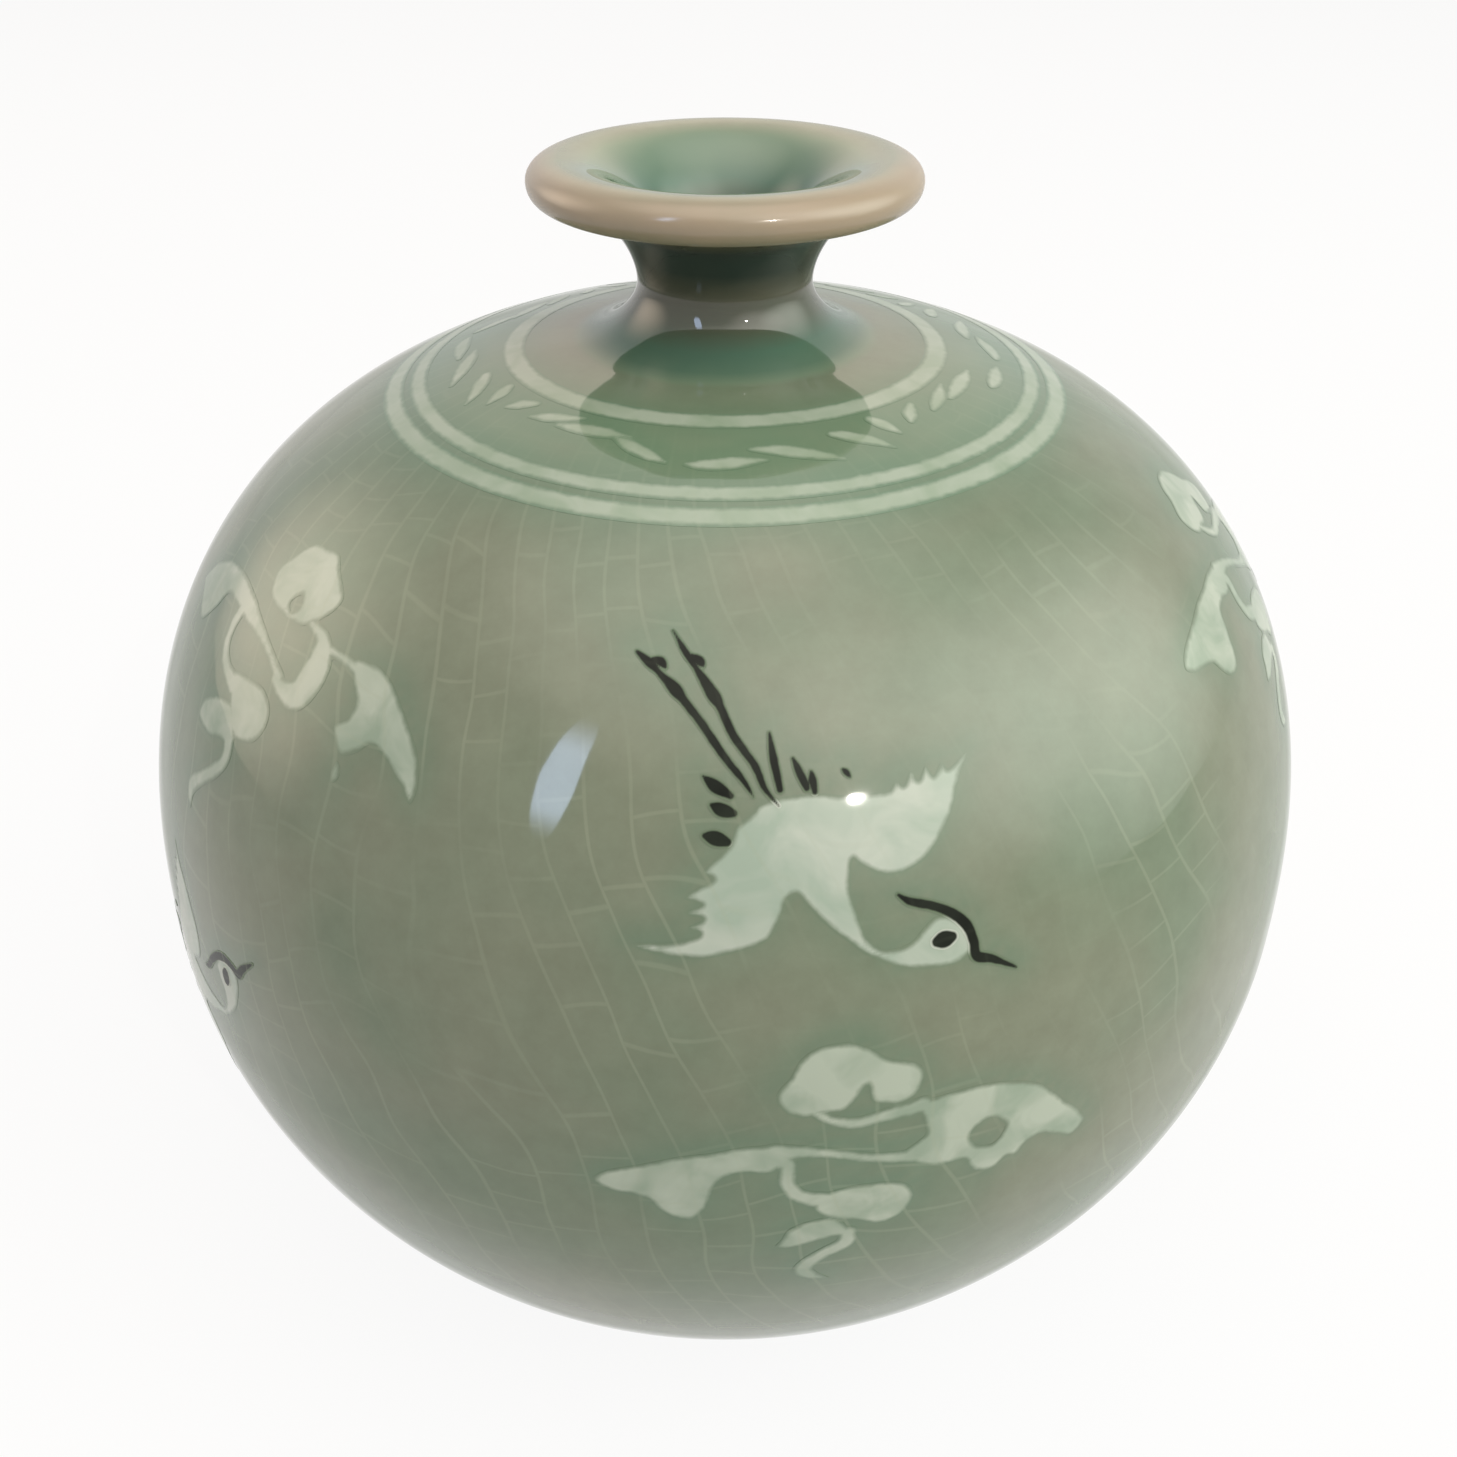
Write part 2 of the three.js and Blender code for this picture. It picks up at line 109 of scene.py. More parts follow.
continue_outline([(0, foot_recess), (9, foot_recess), (18, foot_recess),
                  (foot_inside - 1, foot_recess)], 0.6, 0.6)
continue_outline(bend(0.4, (foot_inside - 1, foot_recess), (foot_inside, foot_recess),
                      (foot_inside, 0), (foot_inside + 1, 0)), 0.6, 0.3)
continue_outline([(foot_inside + 1, 0), (foot_radius - 1.1, 0)], 0.3, 0.3)
continue_outline(bend(0.4, (foot_radius - 1.1, 0), (foot_radius, 0), (foot_radius, 1.6),
                      (foot_radius + 1, 2.5)), 0.3, 0.8)
lower_belly = half_globe(belly_radius, -belly_drop, belly_fullness, foot_radius + 1)[::-1]
continue_outline(evenly(2.0, lower_belly), 0.6, 0.5)
# The glaze lies thicker between the ring lines, and pools round the foot of the neck
upper_belly = evenly(1.2, half_globe(
    belly_radius, shoulder_rise, shoulder_fullness, shoulder_end[0]))
continue_outline(upper_belly, *np.interp(
    upper_belly[:, 0], (24, 26, 36, 41), (0.66, 0.75, 0.75, 0.5)))
# From the fillet up the neck to the lip the values pass 1: painted shade under the overhanging lip
continue_outline(bend(
    0.4, shoulder_end,
    (shoulder_end[0] - neck_fillet * 0.6, shoulder_end[1] + neck_fillet * 0.09),
    (neck_radius, neck_height - (neck_height - shoulder_end[1]) * 0.38),
    (neck_radius, neck_height)), 0.66, 0.95, 1.0, 1.2, 1.25)
continue_outline(bend(
    0.6, (neck_radius, neck_height),
    (neck_radius, neck_height + (lip_under - neck_height) * 0.34),
    (neck_radius + (lip_radius - neck_radius) * 0.25, lip_under), under_lip),
    1.25, 1.5, 1.5, 1.0, 0.25)
continue_outline(bend(
    0.45, under_lip, (lip_radius - lip_roll * 0.2, lip_under),
    (lip_radius, lip_under + lip_roll * 0.2), lip_edge), 0.25, 0.1)
continue_outline(bend(
    0.45, lip_edge, (lip_radius, lip_under + lip_roll * 0.8),
    (lip_crest + (lip_radius - lip_crest) * 0.55, lip_height), crest), 0.1, 0.12, 0.4)
# Down the funnel into the throat the glaze darkens, past 1 in the hole: painted shade
continue_outline(bend(
    0.8, crest, (lip_crest - (lip_crest - throat_radius) * 0.5, lip_height),
    (throat_radius, throat_top + (lip_height - throat_top) * 0.4),
    (throat_radius, throat_top)), 0.48, 0.8, 0.9, 1.1, 1.35)
hollow_top = half_globe(belly_radius - wall, shoulder_rise - wall, shoulder_fullness,
                        throat_radius + wall)
throat_end, ceiling = (throat_radius, hollow_top[-1, 1] + 1.6), hollow_top[-1, 1]
continue_outline(evenly(2.4, [(throat_radius, throat_top), throat_end]), 1.0, 0.8)
continue_outline(bend(0.8, throat_end, (throat_radius, ceiling + 0.4),
                      (throat_radius + 1, ceiling), hollow_top[-1]), 0.8, 0.6)
continue_outline(evenly(4.0, hollow_top[::-1]), 0.6, 0.5)
hollow_floor = foot_recess + base
continue_outline(evenly(4.0, half_globe(
    belly_radius - wall, hollow_floor - widest_height, 2.2, 2.0)), 0.5, 0.8)
continue_outline([outline[-1][:2], (0, hollow_floor)], 0.8, 0.8)


def add(tree, kind, inputs=(), **settings):
    """Adds a node, sets it up, and links or sets its inputs, by place or by name."""
    node = tree.nodes.new(kind)
    for name, value in settings.items():
        setattr(node, name, value)
    pairs = inputs.items() if isinstance(inputs, dict) else enumerate(inputs)
    for key, value in pairs:
        socket = node.inputs[key] if isinstance(key, int) else next(
            s for s in node.inputs if s.name == key and s.enabled)
        if isinstance(value, bpy.types.Node):
            value = next(s for s in value.outputs if s.enabled)
        if isinstance(value, bpy.types.NodeSocket):
            tree.links.new(value, socket)
        elif value is not None:
            socket.default_value = value
    return node


def new_tree(name, inputs):
    """A Geometry Nodes tree with named inputs and one geometry out."""
    tree = bpy.data.node_groups.new(name, "GeometryNodeTree")
    for label, kind in inputs.items():
        tree.interface.new_socket(label, in_out="INPUT", socket_type="NodeSocket" + kind)
    tree.interface.new_socket("Geometry", in_out="OUTPUT", socket_type="NodeSocketGeometry")
    return tree, add(tree, "NodeGroupInput").outputs


def finish_tree(tree, geometry, material):
    """Smooth faces with the given material, as real geometry."""
    smooth = add(tree, "GeometryNodeSetShadeSmooth", {"Geometry": geometry})
    real = add(tree, "GeometryNodeRealizeInstances", {"Geometry": smooth})
    finished = add(tree, "GeometryNodeSetMaterial", {"Geometry": real, "Material": material})
    add(tree, "NodeGroupOutput", [finished])


def shape_from(name, mesh, tree, values):
    """The tree's result on a mesh as a plain object, its hard edges kept sharp."""
    piece = bpy.data.objects.new(name, mesh)
    scene.collection.objects.link(piece)
    modifier = piece.modifiers.new("shape", "NODES")
    modifier.node_group = tree
    for item in tree.interface.items_tree:
        if item.in_out == "INPUT" and item.name in values:
            modifier[item.identifier] = values[item.name]
    evaluated = piece.evaluated_get(bpy.context.evaluated_depsgraph_get())
    result = bpy.data.meshes.new_from_object(evaluated)
    piece.modifiers.remove(modifier)
    piece.data = result
    result.name = name
    result.set_sharp_from_angle(angle=radians(50))
    return piece


def mesh_from(name, points, edges, faces, attributes):
    """A mesh from points in millimetres, with named values for each of them."""
    mesh = bpy.data.meshes.new(name)
    mesh.from_pydata((points * MM).tolist(), edges, faces)
    for label, values in attributes.items():
        attribute = mesh.attributes.new(label, "FLOAT", "POINT")
        attribute.data.foreach_set("value", values.astype(np.float32))
    return mesh


def outline_mesh(rows, attribute):
    """Outline points with one value each, in metres, at the front of the vase."""
    radii, heights, values = np.array(rows, float).T
    points = np.column_stack([0 * radii, -radii, heights])
    joins = [(i, i + 1) for i in range(len(rows) - 1)]
    return mesh_from("outline", points, joins, [], {attribute: values})


turning, given = new_tree("Turned outline", {
    "Outline": "Geometry", "Facets round": "Int", "Material": "Material"})
rows_in = add(turning, "GeometryNodeAttributeDomainSize", {"Geometry": given["Outline"]})
columns = add(turning, "ShaderNodeMath", [given["Facets round"], 1.0], operation="ADD")
grid = add(turning, "GeometryNodeMeshGrid", {
    "Vertices X": rows_in.outputs["Point Count"], "Vertices Y": columns})
index = add(turning, "GeometryNodeInputIndex")
middle = add(turning, "ShaderNodeMath", [index, 0.5], operation="ADD")
row = add(turning, "ShaderNodeMath", [
    add(turning, "ShaderNodeMath", [middle, columns], operation="DIVIDE")], operation="FLOOR")
column = add(turning, "ShaderNodeMath", [
    index, add(turning, "ShaderNodeMath", [row, columns], operation="MULTIPLY")],
    operation="SUBTRACT")
angle = add(turning, "ShaderNodeMath", [
    add(turning, "ShaderNodeMath", [column, tau], operation="MULTIPLY"),
    given["Facets round"]], operation="DIVIDE")
place = add(turning, "GeometryNodeSampleIndex", {
    "Geometry": given["Outline"], "Value": add(turning, "GeometryNodeInputPosition"),
    "Index": row}, data_type="FLOAT_VECTOR")
place = add(turning, "ShaderNodeVectorRotate", {"Vector": place, "Angle": angle},
            rotation_type="Z_AXIS")
shape = grid.outputs["Mesh"]
for attribute in ("glaze", "edge"):
    named = add(turning, "GeometryNodeInputNamedAttribute", {"Name": attribute}, data_type="FLOAT")
    sampled = add(turning, "GeometryNodeSampleIndex", {
        "Geometry": given["Outline"], "Value": named, "Index": row}, data_type="FLOAT")
    shape = add(turning, "GeometryNodeStoreNamedAttribute", {
        "Geometry": shape, "Name": attribute, "Value": sampled},
        data_type="FLOAT", domain="POINT").outputs[0]
turned = add(turning, "GeometryNodeSetPosition", {"Geometry": shape, "Position": place})
closed = add(turning, "GeometryNodeMergeByDistance", {"Geometry": turned, "Distance": 1e-6})
finish_tree(turning, closed, given["Material"])

# ----------------------------------------------- celadon glaze
# A clear reducing glaze, thick and glassy, over the grey stoneware. It runs thin
# and pinkish-beige on the lip, pools dark green at the foot of the neck and round
# the cut inlays, and is crazed all over by long fine cracks about 6 mm apart. Its
# darker tones on the neck under the lip and down the throat are painted shade.


def colour(hex_code, alpha=1.0):
    """An sRGB hex value as linear red, green and blue."""
    parts = [int(hex_code[i:i + 2], 16) / 255 for i in (1, 3, 5)]
    return (*(p / 12.92 if p <= 0.04045 else ((p + 0.055) / 1.055) ** 2.4 for p in parts), alpha)


glass = bpy.data.node_groups.new("Celadon glaze in depth", "ShaderNodeTree")
for label, kind, way in (("Thickness", "Float", "INPUT"), ("Pool", "Float", "INPUT"),
                         ("Colour", "Color", "OUTPUT"), ("Crack", "Float", "OUTPUT"),
                         ("Height", "Float", "OUTPUT")):
    glass.interface.new_socket(label, in_out=way, socket_type="NodeSocket" + kind)
into = add(glass, "NodeGroupInput").outputs
where = add(glass, "ShaderNodeTexCoord").outputs["Object"]

# Cloudy tone from the kiln: patches of 30 to 60 mm, and a mottle of 4 mm
clouding = add(glass, "ShaderNodeTexNoise", {
    "Vector": where, "Scale": 24.0, "Detail": 3.0, "Roughness": 0.55})
clouding = add(glass, "ShaderNodeMapRange", {
    "Value": clouding, "From Min": 0.36, "From Max": 0.64}, interpolation_type="SMOOTHSTEP")
mottle = add(glass, "ShaderNodeTexNoise", {
    "Vector": where, "Scale": 240.0, "Detail": 4.0, "Roughness": 0.65})
body_tone = add(glass, "ShaderNodeMix", {
    "Factor": clouding, "A": colour("#737a66"), "B": colour("#677761")}, data_type="RGBA")
mottled = add(glass, "ShaderNodeMix", {
    "Factor": mottle, "A": colour("#d8d8d2"), "B": colour("#ffffff")}, data_type="RGBA")
body_tone = add(glass, "ShaderNodeMix", {
    "Factor": 1.0, "A": body_tone, "B": mottled}, data_type="RGBA", blend_type="MULTIPLY")

uneven = add(glass, "ShaderNodeTexNoise", {"Vector": where, "Scale": 70.0, "Detail": 3.0})
uneven = add(glass, "ShaderNodeMath", [uneven, 0.5], operation="SUBTRACT")
depth = add(glass, "ShaderNodeMath", [uneven, 0.24, into["Thickness"]], operation="MULTIPLY_ADD")
thin = add(glass, "ShaderNodeMapRange", {"Value": depth, "From Min": 0.42, "From Max": 0.1})
thick = add(glass, "ShaderNodeMapRange", {"Value": depth, "From Min": 0.6, "From Max": 0.78})
pool_and_shade_tones = add(glass, "ShaderNodeValToRGB", [add(glass, "ShaderNodeMapRange", {
    "Value": depth, "From Min": 0.6, "From Max": 1.5})])
tones = pool_and_shade_tones.color_ramp.elements
# Past 0.44 of the ramp, a depth of 1, the tones are painted shade: brown-grey, then near black
tones[0].color, tones[1].color = colour("#6e7c68"), colour("#2e3832")
for share, tone in ((0.17, "#667963"), (0.44, "#4b6756"), (0.72, "#505041")):
    tones.new(share).color = colour(tone)
pooled = add(glass, "ShaderNodeMath", [into["Pool"], 0.42], operation="MULTIPLY")

# Crazing: long cracks lean as they run from neck to foot, 6 mm apart at the widest,
# and shorter ones cross between them, which start at another height in each column
cracks_round, lean, crossing_lean, crack_wander = 80, 5.0, -7, 3.2
crossing_mm, crack_mm = 5.5, 0.3
place = add(glass, "ShaderNodeSeparateXYZ", [where]).outputs
flat_place = add(glass, "ShaderNodeCombineXYZ", [place["X"], place["Y"]])
out = add(glass, "ShaderNodeVectorMath", [flat_place], operation="LENGTH").outputs["Value"]
around = add(glass, "ShaderNodeMath", [
    place["X"], add(glass, "ShaderNodeMath", [place["Y"], -1.0], operation="MULTIPLY")],
    operation="ARCTAN2")
climb = add(glass, "ShaderNodeMath", [
    add(glass, "ShaderNodeMath", [place["Z"], widest_height * MM], operation="SUBTRACT"),
    out], operation="ARCTAN2")
wander = add(glass, "ShaderNodeSeparateColor", [add(glass, "ShaderNodeTexNoise", {
    "Vector": where, "Scale": 30.0, "Detail": 1.5}).outputs["Color"]]).outputs


def crack_number(turns, steps, wandering):
    """Counts cracks along a way round (turns) and up (steps), bent by a slow noise."""
    ways = add(glass, "ShaderNodeCombineXYZ", [around, climb, wandering])
    return add(glass, "ShaderNodeVectorMath", [ways, (turns / tau, steps, crack_wander)],
               operation="DOT_PRODUCT").outputs["Value"]


# A crack lies at each whole number, and Ping-pong gives the way to the nearest
long_number = crack_number(cracks_round, lean, wander["Red"])
long_away = add(glass, "ShaderNodeMath", [long_number, 0.5], operation="PINGPONG")
long_away = add(glass, "ShaderNodeMath", [
    add(glass, "ShaderNodeMath", [long_away, out], operation="MULTIPLY"),
    tau / cracks_round / MM], operation="MULTIPLY")
column = add(glass, "ShaderNodeMath", [
    add(glass, "ShaderNodeMath", [long_number], operation="FLOOR"),
    float(cracks_round), 0.0], operation="WRAP")
start = add(glass, "ShaderNodeTexWhiteNoise", {"W": column}, noise_dimensions="1D")
cross_number = crack_number(crossing_lean, belly_radius / crossing_mm, wander["Green"])
cross_number = add(glass, "ShaderNodeMath", [
    cross_number, start.outputs["Value"]], operation="ADD")
cross_away = add(glass, "ShaderNodeMath", [cross_number, 0.5], operation="PINGPONG")
each = add(glass, "ShaderNodeTexWhiteNoise", {
    "Vector": add(glass, "ShaderNodeCombineXYZ", [
        column, add(glass, "ShaderNodeMath", [cross_number], operation="ROUND")])},
    noise_dimensions="2D").outputs["Value"]
kept = add(glass, "ShaderNodeMath", [each, 0.3], operation="GREATER_THAN")
long_line = add(glass, "ShaderNodeMapRange", {
    "Value": long_away, "From Min": crack_mm, "From Max": crack_mm * 0.25},
    interpolation_type="SMOOTHSTEP")
cross_line = add(glass, "ShaderNodeMapRange", {
    "Value": cross_away, "From Min": crack_mm / crossing_mm,
    "From Max": crack_mm * 0.25 / crossing_mm, "To Max": 0.8}, interpolation_type="SMOOTHSTEP")
cross_line = add(glass, "ShaderNodeMath", [cross_line, kept], operation="MULTIPLY")
crack = add(glass, "ShaderNodeMath", [long_line, cross_line], operation="MAXIMUM")
patches = add(glass, "ShaderNodeTexNoise", {"Vector": where, "Scale": 45.0, "Detail": 1.0})
# The cracks show more towards -X than towards +X
patches = add(glass, "ShaderNodeMath", [place["X"], -1.5, patches], operation="MULTIPLY_ADD")
patches = add(glass, "ShaderNodeMapRange", {
    "Value": patches, "From Min": 0.4, "From Max": 0.6, "To Min": 0.1})
crack = add(glass, "ShaderNodeMath", [crack, patches], operation="MULTIPLY")
# On the narrow neck and lip they lie too close to see one by one
open_enough = add(glass, "ShaderNodeMapRange", {
    "Value": out, "From Min": 0.02, "From Max": 0.06}, interpolation_type="SMOOTHSTEP")
crack = add(glass, "ShaderNodeMath", [crack, open_enough], operation="MULTIPLY")
crack_tint = add(glass, "ShaderNodeMath", [crack, 0.09], operation="MULTIPLY")
toned = body_tone
for share, tone in ((thin, colour("#8f816c")), (thick, pool_and_shade_tones), (pooled, colour("#4c6b55")),
                    (crack_tint, colour("#b4b9a2"))):
    toned = add(glass, "ShaderNodeMix", {"Factor": share, "A": toned, "B": tone}, data_type="RGBA")
ripple = add(glass, "ShaderNodeTexNoise", {"Vector": where, "Scale": 55.0, "Detail": 2.0})
add(glass, "NodeGroupOutput", {"Colour": toned, "Crack": crack, "Height": ripple})


def glazed(name, gloss=0.5):
    """A glazed material: its tree, its shader, and its glaze group."""
    material = bpy.data.materials.new(name)
    material.use_nodes = True
    tree = material.node_tree
    shader = tree.nodes["Principled BSDF"]
    shader.inputs["Roughness"].default_value = 0.04
    shader.inputs["IOR"].default_value = 1.5
    look = add(tree, "ShaderNodeGroup", node_tree=glass)
    bump = add(tree, "ShaderNodeBump", {
        "Strength": 0.35, "Distance": 0.0006, "Height": look.outputs["Height"]})
    tree.links.new(bump.outputs[0], shader.inputs["Normal"])
    # Crazing breaks up the mirror that clear glass would be at a low angle
    facing = add(tree, "ShaderNodeLayerWeight", {"Blend": 0.5}).outputs["Facing"]
    level = add(tree, "ShaderNodeMapRange", {
        "Value": facing, "From Min": 0.67, "From Max": 0.88, "To Min": gloss,
        "To Max": gloss * 0.1})
    tree.links.new(level.outputs[0], shader.inputs["Specular IOR Level"])
    return material, tree, shader, look


celadon, tree, shader, look = glazed("crackled_celadon_glaze")
thickness = add(tree, "ShaderNodeAttribute", attribute_name="glaze")
tree.links.new(thickness.outputs["Fac"], look.inputs["Thickness"])
# The thin glaze of the lip has a softer sheen
sheen = add(tree, "ShaderNodeMapRange", {
    "Value": thickness.outputs["Fac"], "From Min": 0.12, "From Max": 0.5, "To Min": 0.16,
    "To Max": 0.04})
tree.links.new(sheen.outputs[0], shader.inputs["Roughness"])
pool = add(tree, "ShaderNodeAttribute", attribute_name="pool")
tree.links.new(pool.outputs["Fac"], look.inputs["Pool"])
# The foot's face is wiped clean of glaze, so the fired clay shows there
height = add(tree, "ShaderNodeSeparateXYZ", [add(tree, "ShaderNodeTexCoord").outputs["Object"]])
wiped = add(tree, "ShaderNodeTexNoise", {"Scale": 300.0, "Detail": 2.0})
wiped = add(tree, "ShaderNodeMath", [wiped, 0.9 * MM, height.outputs["Z"]],
            operation="MULTIPLY_ADD")
bare = add(tree, "ShaderNodeMapRange", {
    "Value": wiped, "From Min": 1.2 * MM, "From Max": 0.9 * MM})
clay = add(tree, "ShaderNodeMix", {
    "Factor": bare, "A": look.outputs["Colour"], "B": colour("#9a7f66")}, data_type="RGBA")
tree.links.new(clay.outputs["Result"], shader.inputs["Base Color"])

vase = shape_from("thrown_body", outline_mesh(outline, "glaze"), turning, {
    "Facets round": facets_round, "Material": celadon})
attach(vase, "root")
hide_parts("vase_body")

# -------------------------------------------------- ring lines
# Three grooves turned in the leather-hard shoulder and filled with white slip.
# The slip is scraped flush, so a line has soft, slightly uneven edges under glaze.

# The slip spreads a little beyond each stroke of the brush
inlay_depth, inlay_proud, spread_mm = 0.9, 0.02, 0.1


def slip_material(name, tone, tone_thin, wavering, fade, glaze=0.52, gloss=0.5):
    """Slip under the glaze: its edges fade into the glaze over a few tenths of a mm."""
    material, tree, shader, look = glazed(name, gloss)
    look.inputs["Thickness"].default_value = glaze
    look.inputs["Pool"].default_value = 0.8
    where = add(tree, "ShaderNodeTexCoord").outputs["Object"]
    edge = add(tree, "ShaderNodeAttribute", attribute_name="edge").outputs["Fac"]
    waver = add(tree, "ShaderNodeTexNoise", {"Vector": where, "Scale": 700.0, "Detail": 2.0})
    waver = add(tree, "ShaderNodeMath", [waver, 0.5], operation="SUBTRACT")
    edge = add(tree, "ShaderNodeMath", [waver, wavering, edge], operation="MULTIPLY_ADD")
    cover = add(tree, "ShaderNodeMapRange", {
        "Value": edge, "From Min": 0.05, "From Max": fade}, interpolation_type="SMOOTHSTEP")
    # Brushed on in strokes, so it is uneven in thickness over 2 to 5 mm
    streak = add(tree, "ShaderNodeTexNoise", {
        "Vector": where, "Scale": 160.0, "Detail": 3.0, "Distortion": 0.6})
    streak = add(tree, "ShaderNodeMapRange", {"Value": streak, "From Min": 0.38, "From Max": 0.66})
    slip = add(tree, "ShaderNodeMix", {
        "Factor": streak, "A": colour(tone), "B": colour(tone_thin)}, data_type="RGBA")
    crack = add(tree, "ShaderNodeMath", [look.outputs["Crack"], 0.16], operation="MULTIPLY")
    slip = add(tree, "ShaderNodeMix", {
        "Factor": crack, "A": slip, "B": colour("#8d957f")}, data_type="RGBA")
    # Black over white shows white at its soft edge, and glaze where it is beside it
    beneath = add(tree, "ShaderNodeMix", {
        "Factor": add(tree, "ShaderNodeAttribute", attribute_name="over_white").outputs["Fac"],
        "A": look.outputs["Colour"], "B": colour("#a4aba0")}, data_type="RGBA")
    slip = add(tree, "ShaderNodeMix", {"Factor": cover, "A": beneath, "B": slip}, data_type="RGBA")
    tree.links.new(slip.outputs["Result"], shader.inputs["Base Color"])
    return material


slip_in_lines = slip_material(
    "white_slip_lines_under_glaze", "#8f9b8b", "#80907c", 0.5, 0.7, glaze=0.75)


def shoulder_point(radius, sunk):
    """A point at a depth under the shoulder's surface, as radius and height."""
    step = 0.01
    slope = (shoulder_height(radius + step) - shoulder_height(radius - step)) / (2 * step)
    length = np.hypot(slope, 1)
    return radius + slope * sunk / length, shoulder_height(radius) - sunk / length


def ring_section(radius, width):
    """Over the top from outside in, then round under it, with the way to the edge."""
    across = np.linspace(width / 2, -width / 2, 11)
    rows = [(*shoulder_point(radius + a, -inlay_proud), width / 2 - abs(a)) for a in across]
    rows += [(*shoulder_point(radius + a, inlay_depth), 0.0) for a in across[[-1, 0]]]
    return rows + rows[:1]


# They are drawn wider than they look, because their edges fade under the glaze
for node, radius, width in (("shoulder_ring_inner", 25.0, 2.8),
                            ("shoulder_ring_middle", 36.3, 2.2),
                            ("shoulder_ring_outer", 39.3, 2.5)):
    ring = shape_from(node.replace("shoulder_", "white_slip_"),
                      outline_mesh(ring_section(radius, width), "edge"),
                      turning, {"Facets round": facets_round, "Material": slip_in_lines})
    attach(ring, "root")
    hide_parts(node)

# ------------------------------------------------ leaf garland
# Short leaf strokes cut between the ring lines and filled with white slip, six or
# seven to a repeat and four repeats round. Each is drawn flat here, then Geometry
# Nodes lay it on the shoulder and give the slip its depth.


def smooth_line(points, closed):
    """A rounded line through given points, about eight steps to a span."""
    points = np.array(points, float)
    count = len(points)
    s = np.arange(8)[:, None] / 8
    pieces = []
    for i in range(count if closed else count - 1):
        near = np.arange(i - 1, i + 3)
        a, b, c, d = points[near % count if closed else near.clip(0, count - 1)]
        pieces.append(0.5 * (2 * b + (c - a) * s + (2 * a - 5 * b + 4 * c - d) * s ** 2
                             + (3 * b - a - 3 * c + d) * s ** 3))
    return np.vstack(pieces + ([] if closed else [points[-1:]]))


def from_span(u, v, start, end):
    """How far each point is from a straight span, and the share of it passed there."""
    du, dv = end[0] - start[0], end[1] - start[1]
    along = (u - start[0]) * du + (v - start[1]) * dv
    share = np.clip(along / max(du * du + dv * dv, 1e-12), 0, 1)
    return np.hypot(u - start[0] - share * du, v - start[1] - share * dv), share


def in_stroke(line, u, v):
    """How far each point is inside a brush stroke of points (u, v, half its width)."""
    line = smooth_line(line, False)
    best = np.full(u.shape, -np.inf)
    for start, end in zip(line[:-1], line[1:]):
        away, share = from_span(u, v, start, end)
        best = np.maximum(best, start[2] + (end[2] - start[2]) * share - away)
    return best


def in_area(outline, u, v):
    """How far each point is inside a closed outline; outside it is negative."""
    outline = smooth_line(outline, True)
    best = np.full(u.shape, np.inf)
    inside = np.zeros(u.shape, bool)
    for start, end in zip(outline, np.roll(outline, -1, axis=0)):
        best = np.minimum(best, from_span(u, v, start, end)[0])
        du, dv = end - start
        crossing = start[0] + (v - start[1]) * du / (dv or 1e-9)
        inside ^= ((start[1] > v) != (end[1] > v)) & (u < crossing)
    return np.where(inside, best, -best)


def drawing(areas=(), strokes=(), holes=()):
    """The distance inside a figure's areas and strokes together, less its holes."""
    def distance(u, v):
        parts = [in_area(area, u, v) for area in areas]
        parts += [in_stroke(line, u, v) for line in strokes]
        best = np.max(parts, axis=0)
        for hole in holes:
            best = np.minimum(best, -in_area(hole, u, v))
        return best
    return distance


def flat_shape(distance, low, high, cell, **others):
    """Triangles where distance(u, v) is positive, cut exactly along its zero line.
    Each corner keeps that distance as edge, and the value of each other function."""
    u, v = np.meshgrid(*(np.arange(low[k], high[k], cell) for k in (0, 1)), indexing="ij")
    index = np.arange(u.size).reshape(u.shape)
    u, v = u.ravel(), v.ravel()
    inside = distance(u, v)
    least = cell * 0.03
    inside = np.where(np.abs(inside) < least, np.where(inside < 0, -least, least), inside)
    a, b, c, d = (part.ravel() for part in (
        index[:-1, :-1], index[1:, :-1], index[1:, 1:], index[:-1, 1:]))
    corners = np.vstack([np.column_stack([a, b, c]), np.column_stack([a, c, d])])

    def code(i, j):
        """A number for the cut between two corners, or for a corner and itself."""
        return np.minimum(i, j) * u.size + np.maximum(i, j)

    within = inside[corners] > 0
    faces = [code(corners, corners)[within.all(1)]]
    for k in range(3):
        p, q, r = np.roll(corners, -k, axis=1).T
        p_in, q_in, r_in = np.roll(within, -k, axis=1).T
        pq, pr = code(p, q), code(p, r)
        faces.append(np.column_stack([code(p, p), pq, pr])[p_in & ~q_in & ~r_in])
        two = ~p_in & q_in & r_in
        faces.append(np.column_stack([code(q, q), code(r, r), pr])[two])
        faces.append(np.column_stack([code(q, q), pr, pq])[two])
    codes, faces = np.unique(np.vstack(faces), return_inverse=True)
    start, end = np.divmod(codes, u.size)
    whole = start == end
    share = inside[start] / np.where(whole, 1, inside[start] - inside[end])
    u, v = (way[start] + (way[end] - way[start]) * share for way in (u, v))
    values = {name: function(u, v) for name, function in others.items()}
    values["edge"] = np.where(whole, inside[start], 0)
    return np.column_stack([u, v]), faces.reshape(-1, 3), values


def brushed(strokes, margin, cell, **others):
    """The flat shape of brush strokes alone."""
    points = np.vstack(strokes)[:, :2]
    return flat_shape(drawing(strokes=strokes), points.min(0) - margin,
                      points.max(0) + margin, cell, **others)


laying, given = new_tree("Slip laid flush", {
    "Drawing": "Geometry", "Outward": "Vector", "Belly radius": "Float",
    "Widest height": "Float", "Shoulder rise": "Float", "Shoulder fullness": "Float",
    "Belly drop": "Float", "Belly fullness": "Float", "Proud": "Float",
    "Thickness": "Float", "Material": "Material"})

